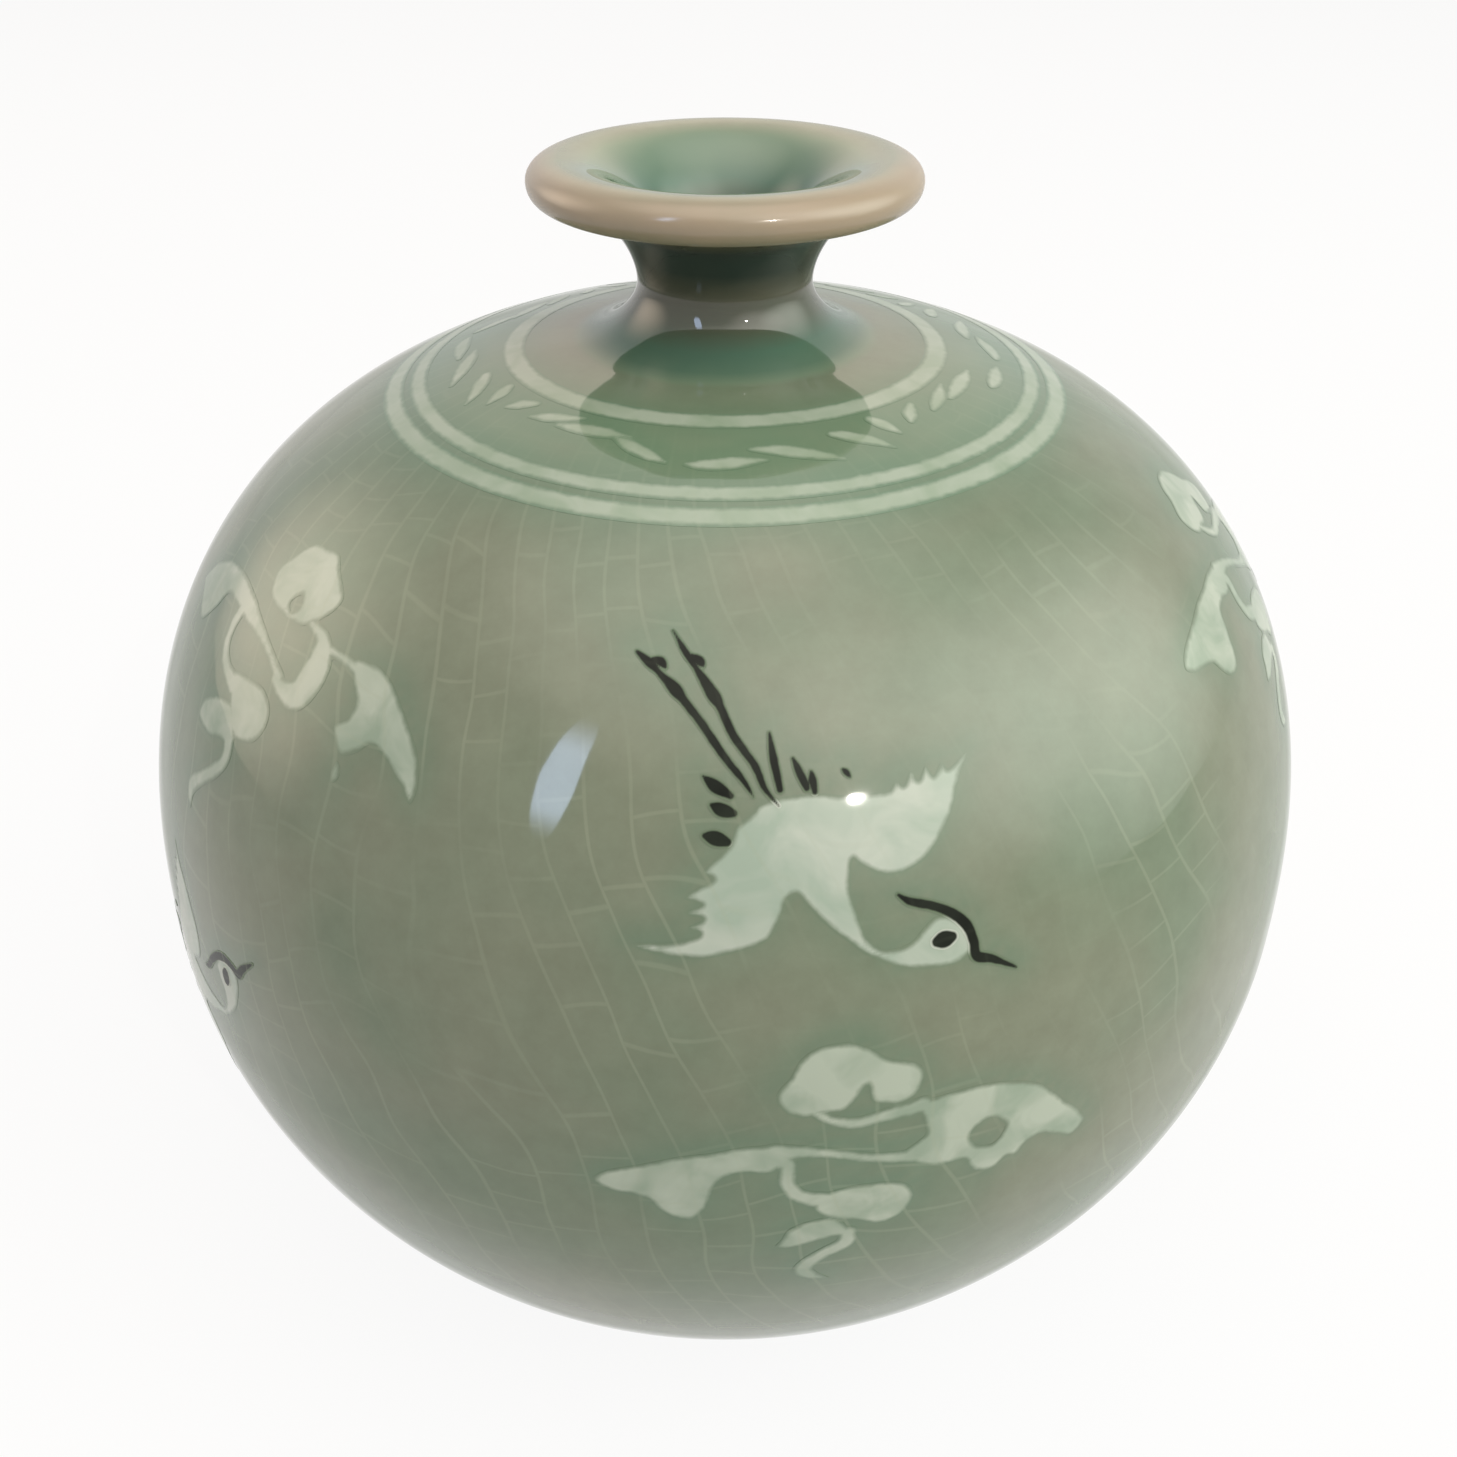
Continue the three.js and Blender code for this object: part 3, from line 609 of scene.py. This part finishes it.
# Each corner goes along Outward until it is on the globe, by Newton's steps
repeat_in = laying.nodes.new("GeometryNodeRepeatInput")
repeat_out = laying.nodes.new("GeometryNodeRepeatOutput")
repeat_in.pair_with_output(repeat_out)
repeat_in.inputs["Iterations"].default_value = 8
laying.links.new(given["Drawing"], repeat_in.inputs["Geometry"])
at = add(laying, "ShaderNodeSeparateXYZ", [add(laying, "GeometryNodeInputPosition")]).outputs
above = add(laying, "ShaderNodeMath", [at["Z"], given["Widest height"]], operation="SUBTRACT")
is_upper = add(laying, "ShaderNodeMath", [above, 0.0], operation="GREATER_THAN")
rise = add(laying, "ShaderNodeMix", {
    "Factor": is_upper, "A": given["Belly drop"], "B": given["Shoulder rise"]},
    data_type="FLOAT")
fullness = add(laying, "ShaderNodeMix", {
    "Factor": is_upper, "A": given["Belly fullness"], "B": given["Shoulder fullness"]},
    data_type="FLOAT")
less_one = add(laying, "ShaderNodeMath", [fullness, 1.0], operation="SUBTRACT")
level = add(laying, "ShaderNodeCombineXYZ", [at["X"], at["Y"]])
radius = add(laying, "ShaderNodeVectorMath", [level], operation="LENGTH").outputs["Value"]
shares, slopes = [], []
for reach, full_reach in (
        (radius, given["Belly radius"]),
        (add(laying, "ShaderNodeMath", [above], operation="ABSOLUTE"), rise)):
    share = add(laying, "ShaderNodeMath", [reach, full_reach], operation="DIVIDE")
    shares.append(add(laying, "ShaderNodeMath", [share, fullness], operation="POWER"))
    slopes.append(add(laying, "ShaderNodeMath", [
        add(laying, "ShaderNodeMath", [share, less_one], operation="POWER"), full_reach],
        operation="DIVIDE"))
inside = add(laying, "ShaderNodeMath", [
    1.0, add(laying, "ShaderNodeMath", shares, operation="ADD")], operation="SUBTRACT")
slope_up = add(laying, "ShaderNodeMath", [
    slopes[1], add(laying, "ShaderNodeMath", [above], operation="SIGN")], operation="MULTIPLY")
flat_way = add(laying, "ShaderNodeVectorMath", {
    0: level, "Scale": add(laying, "ShaderNodeMath", [slopes[0], radius], operation="DIVIDE")},
    operation="SCALE")
steepest = add(laying, "ShaderNodeVectorMath", [
    flat_way, add(laying, "ShaderNodeCombineXYZ", [0.0, 0.0, slope_up])], operation="ADD")
along = add(laying, "ShaderNodeVectorMath", [steepest, given["Outward"]],
            operation="DOT_PRODUCT").outputs["Value"]
along = add(laying, "ShaderNodeMath", [along, fullness], operation="MULTIPLY")
step = add(laying, "ShaderNodeMath", [inside, along], operation="DIVIDE")
moved = add(laying, "GeometryNodeSetPosition", {
    "Geometry": repeat_in.outputs["Geometry"],
    "Offset": add(laying, "ShaderNodeVectorMath", {0: given["Outward"], "Scale": step},
                  operation="SCALE")})
laying.links.new(moved.outputs[0], repeat_out.inputs["Geometry"])
normal = add(laying, "ShaderNodeVectorMath", [steepest], operation="NORMALIZE")
top = add(laying, "GeometryNodeSetPosition", {
    "Geometry": repeat_out.outputs["Geometry"],
    "Offset": add(laying, "ShaderNodeVectorMath", {0: normal, "Scale": given["Proud"]},
                  operation="SCALE")})
down = add(laying, "ShaderNodeMath", [given["Thickness"], -1.0], operation="MULTIPLY")
sunk = add(laying, "GeometryNodeExtrudeMesh", {
    "Mesh": top, "Offset Scale": down, "Individual": False})
turned_over = add(laying, "GeometryNodeFlipFaces", {"Mesh": sunk.outputs["Mesh"]})
whole = laying.nodes.new("GeometryNodeJoinGeometry")
laying.links.new(top.outputs[0], whole.inputs[0])
laying.links.new(turned_over.outputs[0], whole.inputs[0])
closed = add(laying, "GeometryNodeMergeByDistance", {"Geometry": whole, "Distance": 2e-6})
finish_tree(laying, closed, given["Material"])

globe = {
    "Belly radius": belly_radius * MM, "Widest height": widest_height * MM,
    "Shoulder rise": shoulder_rise * MM, "Shoulder fullness": shoulder_fullness,
    "Belly drop": belly_drop * MM, "Belly fullness": belly_fullness}


def lay_slip(name, node, drawn, to_space, outward, material, proud=inlay_proud):
    """Lays a flat drawing of slip on the vase in place of a CAD node."""
    points, faces, values = drawn
    flat = mesh_from(name, to_space(points), [], faces.tolist(), values)
    piece = shape_from(name, flat, laying, {
        **globe, "Outward": tuple(float(x) for x in outward), "Proud": proud * MM,
        "Thickness": (inlay_depth + proud) * MM, "Material": material})
    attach(piece, "root")
    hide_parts(node)


# Strokes: degrees from the start of the repeat, share of the way from the inner
# to the middle ring line, and the stroke's half width in mm
leaf_base, leaf_reach = 26.3, 8.9
leaves = [
    [[(0, 0.67, 0.35), (3.5, 0.67, 0.85), (9, 0.63, 0.95), (15, 0.6, 0.25)]],
    [[(12, 0.4, 0.35), (17, 0.44, 0.9), (23, 0.55, 0.95), (29, 0.72, 0.3)]],
    [[(30, 0.27, 0.6), (33, 0.36, 0.95), (37, 0.52, 0.8), (40, 0.71, 0.2)]],
    [[(41, 0.16, 0.7), (42.5, 0.3, 0.95), (44, 0.51, 0.3)]],
    [[(49, 0.39, 0.4), (51, 0.27, 0.9), (54, 0.15, 0.55)]],
    [[(57, 0.37, 0.3), (61, 0.28, 0.85), (65, 0.2, 0.75), (69, 0.12, 0.3)],
     [(65, 0.35, 0.4), (70, 0.31, 0.9), (76, 0.29, 0.95), (82, 0.29, 0.3)]],
    [[(78, 0.65, 0.3), (81, 0.65, 0.85), (86, 0.65, 0.9), (90, 0.66, 0.3)]],
]
touching_leaf = [(79, 0.33, 0.4), (83, 0.44, 0.9), (87, 0.55, 0.85), (91, 0.66, 0.3)]


def on_shoulder(points):
    """Flat points at the height of the garland's middle."""
    return np.column_stack([points, np.full(len(points), float(shoulder_height(30.0)))])


for repeat, (start, spread, join_last) in enumerate(
        ((-7, 1.0, False), (88, 0.9, True), (173, 0.9, True), (258, 1.0, True)), 1):
    groups = [list(group) for group in leaves]
    if join_last:
        groups.pop()
        groups[-1].append(touching_leaf)
    for number, group in enumerate(groups, 1):
        lines = []
        for stroke in group:
            turn = np.radians([start + degrees * spread for degrees, _, _ in stroke])
            reach = np.array([leaf_base + leaf_reach * share for _, share, _ in stroke])
            lines.append(np.column_stack([reach * np.sin(turn), -reach * np.cos(turn),
                                          [half + spread_mm for _, _, half in stroke]]))
        lay_slip(f"leaf_stroke_{repeat}_{number}", f"garland_leaf_{repeat}_{number}",
                 brushed(lines, 2, 0.25), on_shoulder, (0, 0, 1), slip_in_lines)

# ----------------------------------------------- cloud scrolls
# Two forms of the traditional cloud, cut round by hand and filled with brushed
# white slip: a head over two wings, a looped stem with two lobes, and a tail.

low_cloud = drawing([
    [(-7.3, 7.7), (-6.75, 5.9), (-5, 4.7), (-3, 4.9), (-0.9, 5), (0.3, 5.9), (1.6, 7.8),
     (2.1, 5.7), (3.75, 5), (5.9, 5.1), (7.2, 6.6), (7.4, 8.4), (6.25, 9.6), (3.75, 10.5),
     (1.9, 11.9), (0, 12.8), (-1.9, 12.9), (-3.75, 12.4), (-5.1, 11.25), (-5.9, 9.6)],
    [(6.9, 4.4), (9.4, 4.9), (13.75, 5), (17.5, 4.1), (20.6, 2.5), (23.4, -0.6), (25.6, -3.1),
     (26.9, -5.3), (25.3, -6.9), (23.4, -5.9), (21.25, -4.7), (19.7, -5), (18.4, -6.4),
     (17.2, -6.25), (15.9, -7.4), (14.4, -7.2), (13.1, -6.25), (12.2, -4.7), (10, -4.7),
     (8.1, -4.25), (6.25, -3.1), (5.3, -1.9), (6.9, -0.6), (7.8, 0.3), (7.5, 2.2)],
    [(-6.4, 1), (-10, 1.4), (-13.75, 0.6), (-16.9, 0), (-20, -1.1), (-23.75, -2.5), (-25.3, -4.1),
     (-23.75, -5.3), (-21.25, -5.75), (-20, -6.1), (-19, -7.5), (-17.5, -8.75), (-15.6, -8.9),
     (-14.4, -7.5), (-13.75, -5.6), (-12.8, -3.1), (-10.6, -2.2), (-7.5, -2.2)],
    [(-2.9, -6.2), (-0.6, -5.4), (1.25, -5.2), (5, -5.6), (6.9, -7.2), (6.9, -9.4), (5.3, -11.25),
     (3.1, -11.6), (0.9, -10.6), (-1.25, -10), (-3.4, -8.4)],
    [(0.3, -11.6), (-1.25, -9.7), (-3.75, -9.8), (-5.9, -10.9), (-6.6, -12.5), (-7.2, -13.75),
     (-5.6, -14.1), (-3.1, -13.4), (-1.25, -12.9), (0.9, -12.9)],
], strokes=[
    [(-4, 5.6, 0.62), (-1.9, 4, 0.75), (0.6, 3.3, 0.81), (3.75, 3.75, 0.94), (7.4, 4.2, 1.12)],
    [(6.9, -2.5, 1), (2.5, -1.7, 0.75), (-1.25, -0.5, 0.75), (-4.4, 0.2, 0.88), (-7.6, 0.3, 1.38)],
    [(-7.9, -0.3, 1.25), (-6.2, -1.4, 1), (-6.2, -3.8, 1), (-5, -5.9, 1.06), (-2.4, -6.9, 1.25)],
    [(0.4, -12.4, 1), (0, -14.2, 1.12), (-1.9, -15.5, 1), (-3.4, -17, 1.12), (-4.1, -18.5, 1.12),
     (-3.2, -19.8, 0.88), (-1.25, -20.9, 0.2)],
], holes=[[(14.9, 0.2), (16.7, -1.5), (15.6, -3.5), (13.6, -3), (13, -1.2)]])
high_cloud = drawing([
    [(-6.3, 7.3), (-5.4, 9.3), (-3.5, 11.8), (-1.3, 12.3), (1.2, 12.5), (3.4, 11.1), (6.3, 9.4),
     (6.5, 7.8), (5.4, 6), (3.6, 4.4), (1.4, 4), (-0.8, 3.9), (-3.7, 4.2), (-5.5, 5.4)],
    [(13, 5.1), (15.6, 6), (18.4, 5.6), (21.8, 3.8), (25.4, 1.3), (27, -1.3), (27, -3.2),
     (25.1, -2), (22.3, -0.9), (20.2, -0.8), (19.2, -2.2), (17.6, -3.4), (16, -2.7), (15, -1.4),
     (16.2, 0.1), (16, 2), (14.3, 3.3)],
    [(-5.2, 2.5), (-8.2, 3.5), (-12.2, 4.2), (-16.2, 4.3), (-19.7, 3.7), (-23, 2), (-24.6, -0.3),
     (-22.4, -1.6), (-20.2, -3.1), (-17.8, -3.6), (-15.1, -1.1), (-13.6, 1.2), (-10, 1),
     (-6, 0.6)],
    [(-3.4, -4.5), (0.5, -3.6), (3.3, -3.5), (5.6, -4.7), (6.1, -6.8), (4.9, -8.9), (2.1, -9.9),
     (0.2, -9.6), (-1.6, -7.7)],
    [(-1.2, -7.3), (-4.7, -7.9), (-7.5, -9.3), (-8.1, -11.1), (-6.7, -12), (-3.9, -12.2),
     (-1.1, -11.4), (1.3, -11.4), (1.2, -9.4)],
], strokes=[
    [(4.6, 5.2, 0.62), (7.6, 4.6, 1), (9, 2, 2), (8.6, -1.2, 1.88), (6.4, -2.1, 1.25),
     (4, -1.7, 0.75)],
    [(8.3, 4.1, 0.75), (11, 4.5, 0.62), (14, 4.5, 0.75)],
    [(-6.4, 1.7, 1.25), (-2, 0.8, 0.75), (1.4, -0.2, 0.62), (4.6, -1.5, 0.88)],
    [(-8.4, 1.6, 1.12), (-8.5, -1, 0.88), (-7.6, -3.4, 0.88), (-5.2, -4.9, 0.88),
     (-2.4, -5.5, 1.25)],
    [(0.6, -10.6, 1.12), (1, -12.6, 1), (-0.6, -14.8, 1), (-3.4, -17, 1), (-5.4, -18.9, 1.12),
     (-5, -20.9, 0.3)],
    [(17.6, -4.4, 0.3), (17.9, -5.3, 0.62), (17.8, -6.2, 0.2)],
], holes=[[(0.5, 6.8), (1.5, 5.7), (0.6, 4.7), (-0.5, 5.5)]])


def globe_radius(height):
    """The globe's radius at a height above its widest circle."""
    rise, fullness = ((shoulder_rise, shoulder_fullness) if height > 0
                      else (belly_drop, belly_fullness))
    return belly_radius * (1 - (abs(height) / rise) ** fullness) ** (1 / fullness)


def against_globe(azimuth, height, turn):
    """How a flat drawing stands against the globe, and the way out of its plane."""
    angle, lean, step = radians(azimuth), radians(turn), 0.01
    slope = (globe_radius(height + step) - globe_radius(height - step)) / (2 * step)
    radial = Vector((np.sin(angle), -np.cos(angle), 0))
    outward = (radial - Vector((0, 0, slope))).normalized()
    up = (Vector((0, 0, 1)) + radial * slope).normalized()
    right = up.cross(outward)
    across = np.array(right * np.cos(lean) + up * np.sin(lean))
    along = np.array(up * np.cos(lean) - right * np.sin(lean))
    centre = np.array(radial * globe_radius(height)) + (0, 0, height + widest_height)
    return lambda p: centre + p[:, :1] * across + p[:, 1:] * along, outward


brushed_slip = slip_material("brushed_white_slip_under_glaze", "#99a394", "#7e8e7c", 0.5, 0.7)
low_drawn = flat_shape(low_cloud, (-28, -23), (30, 15), 0.28)
high_drawn = flat_shape(high_cloud, (-27, -23), (30, 15), 0.28)
for number, (azimuth, height, tip, drawn) in enumerate((
        (9.5, 9.8, 0, low_drawn), (74.6, 46.0, -13, low_drawn), (136.0, 9.8, 0, low_drawn),
        (191.5, 46.0, 0, high_drawn), (250.0, 9.8, 0, low_drawn),
        (308.0, 46.0, 0, high_drawn)), 1):
    to_space, outward = against_globe(azimuth, height, tip)
    lay_slip(f"cloud_scroll_{number}", f"cloud_{number}", drawn, to_space, outward,
             brushed_slip)

# ------------------------------------------------------ cranes
# Cranes in flight: the body and wings of white slip, and over it fine lines of
# black iron slip for crest and beak, eye, legs and feather tips.

crane_white = drawing([[
    (-16.3, -10.5), (-13.9, -11.6), (-10, -12.3), (-6.7, -11.9), (-3.9, -11.1), (-2.5, -9.4),
    (-1.7, -7.4), (-0.8, -6.9), (0, -7.7), (1.4, -9.4), (3.3, -11.1), (5.6, -13), (7.8, -14.1),
    (10, -14.8), (12.8, -14.9), (14.7, -14.6), (16, -13.7), (15.9, -11.8), (14.7, -10.4),
    (12.8, -9.9), (11.4, -10.8), (10, -12.2), (7.8, -12.7), (6.1, -11.9), (5.3, -10.2), (4.6, -8),
    (4.4, -5.8), (4.7, -4), (5.3, -4.4), (7.2, -5.5), (9.4, -5.5), (11.7, -4.4), (13.3, -2.4),
    (14.7, 0.3), (15.6, 3.1), (16.6, 5.4), (14.6, 3.9), (13.9, 4.6), (13, 3.3), (12.3, 4.3),
    (11.5, 3), (10.8, 3.9), (10, 2.6), (9.3, 3.2), (8.6, 2.2), (7.2, 2.1), (4.4, 2), (2.2, 2.3),
    (-1.1, 2.3), (-3.6, 1.7), (-4.4, 0.9), (-6, -0.2), (-6.7, -1.9), (-9.3, -4.2), (-8.5, -5),
    (-11.2, -6.4), (-9.5, -7.2), (-11, -7.9), (-9.5, -8.6), (-10.9, -9.3), (-9.9, -10),
    (-12.5, -10.6)]])
crane_lines = {
    "crest_and_beak": [
        [(8.9, -7.6, 0.2), (10, -8.3, 0.4), (12.2, -8.9, 0.45), (14.2, -9.8, 0.5),
         (15.6, -11.1, 0.55), (16.3, -12.7, 0.5), (16.6, -14.1, 0.55), (18.3, -14.6, 0.45),
         (20.8, -15.7, 0.15)]],
    "eye": [[(12.5, -12.4, 0.5), (13.3, -12.2, 0.8), (14.1, -12.0, 0.5)]],
    "legs": [
        [(-13.9, 16.7, 0.2), (-12.8, 15.5, 0.45), (-12, 14.5, 0.3), (-10.7, 12.9, 0.6),
         (-9.9, 11.7, 0.42), (-8.3, 9.2, 0.4), (-6.7, 6.4, 0.38), (-5, 3.9, 0.3),
         (-4.2, 2.4, 0.12)],
        [(-10.4, 18.5, 0.12), (-9.4, 16.3, 0.35), (-8.6, 14.8, 0.3), (-7.2, 12.1, 0.6),
         (-6.6, 10.8, 0.42), (-5.6, 8.1, 0.4), (-3.9, 5.3, 0.38), (-3.1, 3.1, 0.3),
         (-1.9, 1.4, 0.12)],
        [(-12.5, 15.9, 0.2), (-11.8, 15.6, 0.45), (-11.4, 15, 0.2)],
        [(-8.9, 16, 0.2), (-8.2, 15.4, 0.45), (-7.9, 14.9, 0.2)],
        [(-2.3, 8.2, 0.15), (-2.1, 5.8, 0.4), (-1.7, 2.9, 0.35)],
        [(-0.3, 5.7, 0.15), (0.2, 4.4, 0.4), (0.8, 2.9, 0.35)],
        [(1.3, 4.4, 0.15), (1.4, 3.5, 0.4), (1.5, 2.5, 0.3)],
        [(4.3, 4.4, 0.15), (4.6, 4.1, 0.3), (4.9, 3.7, 0.15)],
        [(-8.7, 4.6, 0.15), (-7.6, 3.6, 0.6), (-6.3, 2.6, 0.35)],
        [(-8.1, 1.9, 0.25), (-7.2, 1.4, 0.65), (-6.1, 1, 0.35)],
        [(-8.9, -0.9, 0.3), (-7.9, -1.2, 0.7), (-6.9, -1.6, 0.4)]],
}

# The birds' white slip is laid on thicker than the rest, so it stays whiter
thick_white_slip = slip_material("thick_white_slip_under_glaze", "#9fa79b", "#8b9a8b", 0.45, 0.65)
black_slip = slip_material("black_slip_under_glaze", "#12150f", "#20251d", 0.2, 0.28, gloss=0.12)


def over_white(u, v):
    return np.clip(crane_white(u, v) / 0.4, 0, 1)


white_drawn = flat_shape(crane_white, (-18, -17), (18, 8), 0.25)
black_drawn = {
    part: brushed([[(u, v, half * 1.1 + spread_mm) for u, v, half in line]
                   for line in lines], 1.5, 0.16, over_white=over_white)
    for part, lines in crane_lines.items()}
for number, (azimuth, height, turn) in enumerate((
        (6.25, 42.7, 0), (84.0, 2.8, 68), (133.0, 42.7, 0), (186.0, 2.8, 68),
        (248.0, 42.7, 0), (299.2, 2.8, 68)), 1):
    to_space, outward = against_globe(azimuth, height, turn)
    lay_slip(f"crane_{number}_white", f"crane_{number}_body", white_drawn, to_space,
             outward, thick_white_slip)
    for part, drawn in black_drawn.items():
        lay_slip(f"crane_{number}_black_{part}", f"crane_{number}_{part}", drawn,
                 to_space, outward, black_slip, proud=2.2 * inlay_proud)

# -------------------------------------- glaze round the inlays
# The melted glaze runs a little into the cut edges of the inlays and lies thicker
# there, which shows as a darker green halo 2 to 3 mm wide.

near_edge = 0.3
rims = [vertex.co for piece in scene.objects
        if piece.type == "MESH" and "edge" in piece.data.attributes and piece != vase
        for vertex, edge in zip(piece.data.vertices, piece.data.attributes["edge"].data)
        if edge.value < near_edge]
tree_of_rims = kdtree.KDTree(len(rims))
for i, point in enumerate(rims):
    tree_of_rims.insert(point, i)
tree_of_rims.balance()
halo_reach, lowest_inlay = 2.3 * MM, 35 * MM
pooling = np.zeros(len(vase.data.vertices), np.float32)
for i, vertex in enumerate(vase.data.vertices):
    if vertex.co.z > lowest_inlay:
        rim, _, away = tree_of_rims.find(vertex.co)
        # More of it stays on the upper side, where the run is held back
        above = (vertex.co.z - rim.z) / max(away, 1e-6)
        pooling[i] = np.exp(-(away / halo_reach) ** 2) * (0.7 + 0.3 * above)
vase.data.attributes.new("pool", "FLOAT", "POINT").data.foreach_set("value", pooling)

# ---------------------------------------------- floor and room
# A plain pale floor that the camera sees as white, with the vase's shadow kept.

bpy.ops.mesh.primitive_plane_add(size=8.0)
floor = bpy.context.object
floor.name = "floor"
paper = bpy.data.materials.new("white_paper_floor")
paper.use_nodes = True
tree = paper.node_tree
matt = tree.nodes["Principled BSDF"]
matt.inputs["Base Color"].default_value = colour("#d6d6d4")
matt.inputs["Roughness"].default_value = 0.9
matt.inputs["Specular IOR Level"].default_value = 0.1


def seen_directly(tree):
    """1 for rays from the camera, a reflection or a refraction, and 0 for other light."""
    rays = add(tree, "ShaderNodeLightPath").outputs
    seen = rays["Is Camera Ray"]
    for kind in ("Glossy", "Transmission"):
        seen = add(tree, "ShaderNodeMath", [seen, rays[f"Is {kind} Ray"]], operation="MAXIMUM")
    return seen


white_glow = add(tree, "ShaderNodeEmission")
shaded = add(tree, "ShaderNodeMixShader", [0.1, white_glow, matt])
chosen = add(tree, "ShaderNodeMixShader", [seen_directly(tree), matt, shaded])
tree.links.new(chosen.outputs[0], tree.nodes["Material Output"].inputs["Surface"])
floor.data.materials.append(paper)

world = bpy.data.worlds.new("white_room")
scene.world = world
world.use_nodes = True
tree = world.node_tree
tree.nodes.clear()
fill = add(tree, "ShaderNodeBackground", {"Color": (1, 1, 1, 1), "Strength": 0.14})
white = add(tree, "ShaderNodeBackground", {"Color": (1, 1, 1, 1), "Strength": 1.0})
room = add(tree, "ShaderNodeMixShader", [seen_directly(tree), fill, white])
add(tree, "ShaderNodeOutputWorld", [room])

# ---------------------------------------------- lights, camera
# Soft boxes above, in front and at both sides, a warm glow behind, a window at the
# left, and one small lamp whose round highlight the glaze shows.

lamps_aim = Vector((0, 0, 0.08))
camera_tilt = 33.396


def light(name, place, size, brightness, tint, fades, roll=0):
    """A flat oval lamp; fades is the share of its half length where it starts to dim."""
    lamp = bpy.data.lights.new(name, "AREA")
    lamp.shape = "ELLIPSE"
    lamp.size, lamp.size_y = size
    lamp.energy = brightness * np.pi * size[0] * size[1] * np.pi / 4
    lamp.color = colour(tint)[:3]
    lamp.use_nodes = True
    tree = lamp.node_tree
    away = add(tree, "ShaderNodeVectorMath", [
        add(tree, "ShaderNodeNewGeometry").outputs["Position"], place],
        operation="DISTANCE").outputs["Value"]
    dimmed = add(tree, "ShaderNodeMapRange", {
        "Value": away, "From Min": size[0] / 2, "From Max": size[0] / 2 * fades},
        interpolation_type="SMOOTHSTEP")
    tree.links.new(dimmed.outputs[0], tree.nodes["Emission"].inputs["Strength"])
    holder = bpy.data.objects.new(name, lamp)
    holder.location = place
    aim = (lamps_aim - Vector(place)).to_track_quat("-Z", "Y")
    holder.rotation_euler = (aim @ Quaternion((0, 0, 1), radians(roll))).to_euler()
    scene.collection.objects.link(holder)


light("softbox_above", (0.05, -0.2, 1.5), (3.0, 3.0), 2.1, "#fff6ea", 0.15)
light("softbox_front_right", (0.75, -0.76, 0.97), (2.2, 2.2), 2.4, "#fff8f0", 0.05)
light("softbox_right", (1.38, -0.15, 0.78), (2.5, 2.5), 3.5, "#fbfff4", 0.05)
light("softbox_left", (-1.35, 0.4, 0.6), (1.9, 1.9), 3.0, "#ffe9d0", 0.05)
light("glow_behind", (0, 1.25, 0.95), (1.9, 1.9), 0.9, "#ffd4b0", 0.1)
light("window_left", (-0.68, -0.93, 0.96), (0.8, 0.17), 8.5, "#c8dcff", 0.4, roll=91)
light("small_lamp", (0.489, -0.92, 0.80), (0.035, 0.035), 1400.0, "#fff8f0", 0.6)

camera = bpy.data.cameras.new("camera")
camera.lens = 37.06
camera.sensor_width = 36.0
camera.shift_x = 0.0024
camera.clip_start = 0.01
holder = bpy.data.objects.new("camera", camera)
holder.location = (0, -0.17436, 0.19135)
holder.rotation_euler = (radians(90 - camera_tilt), 0, 0)
scene.collection.objects.link(holder)
scene.camera = holder

scene.view_settings.view_transform = "Standard"
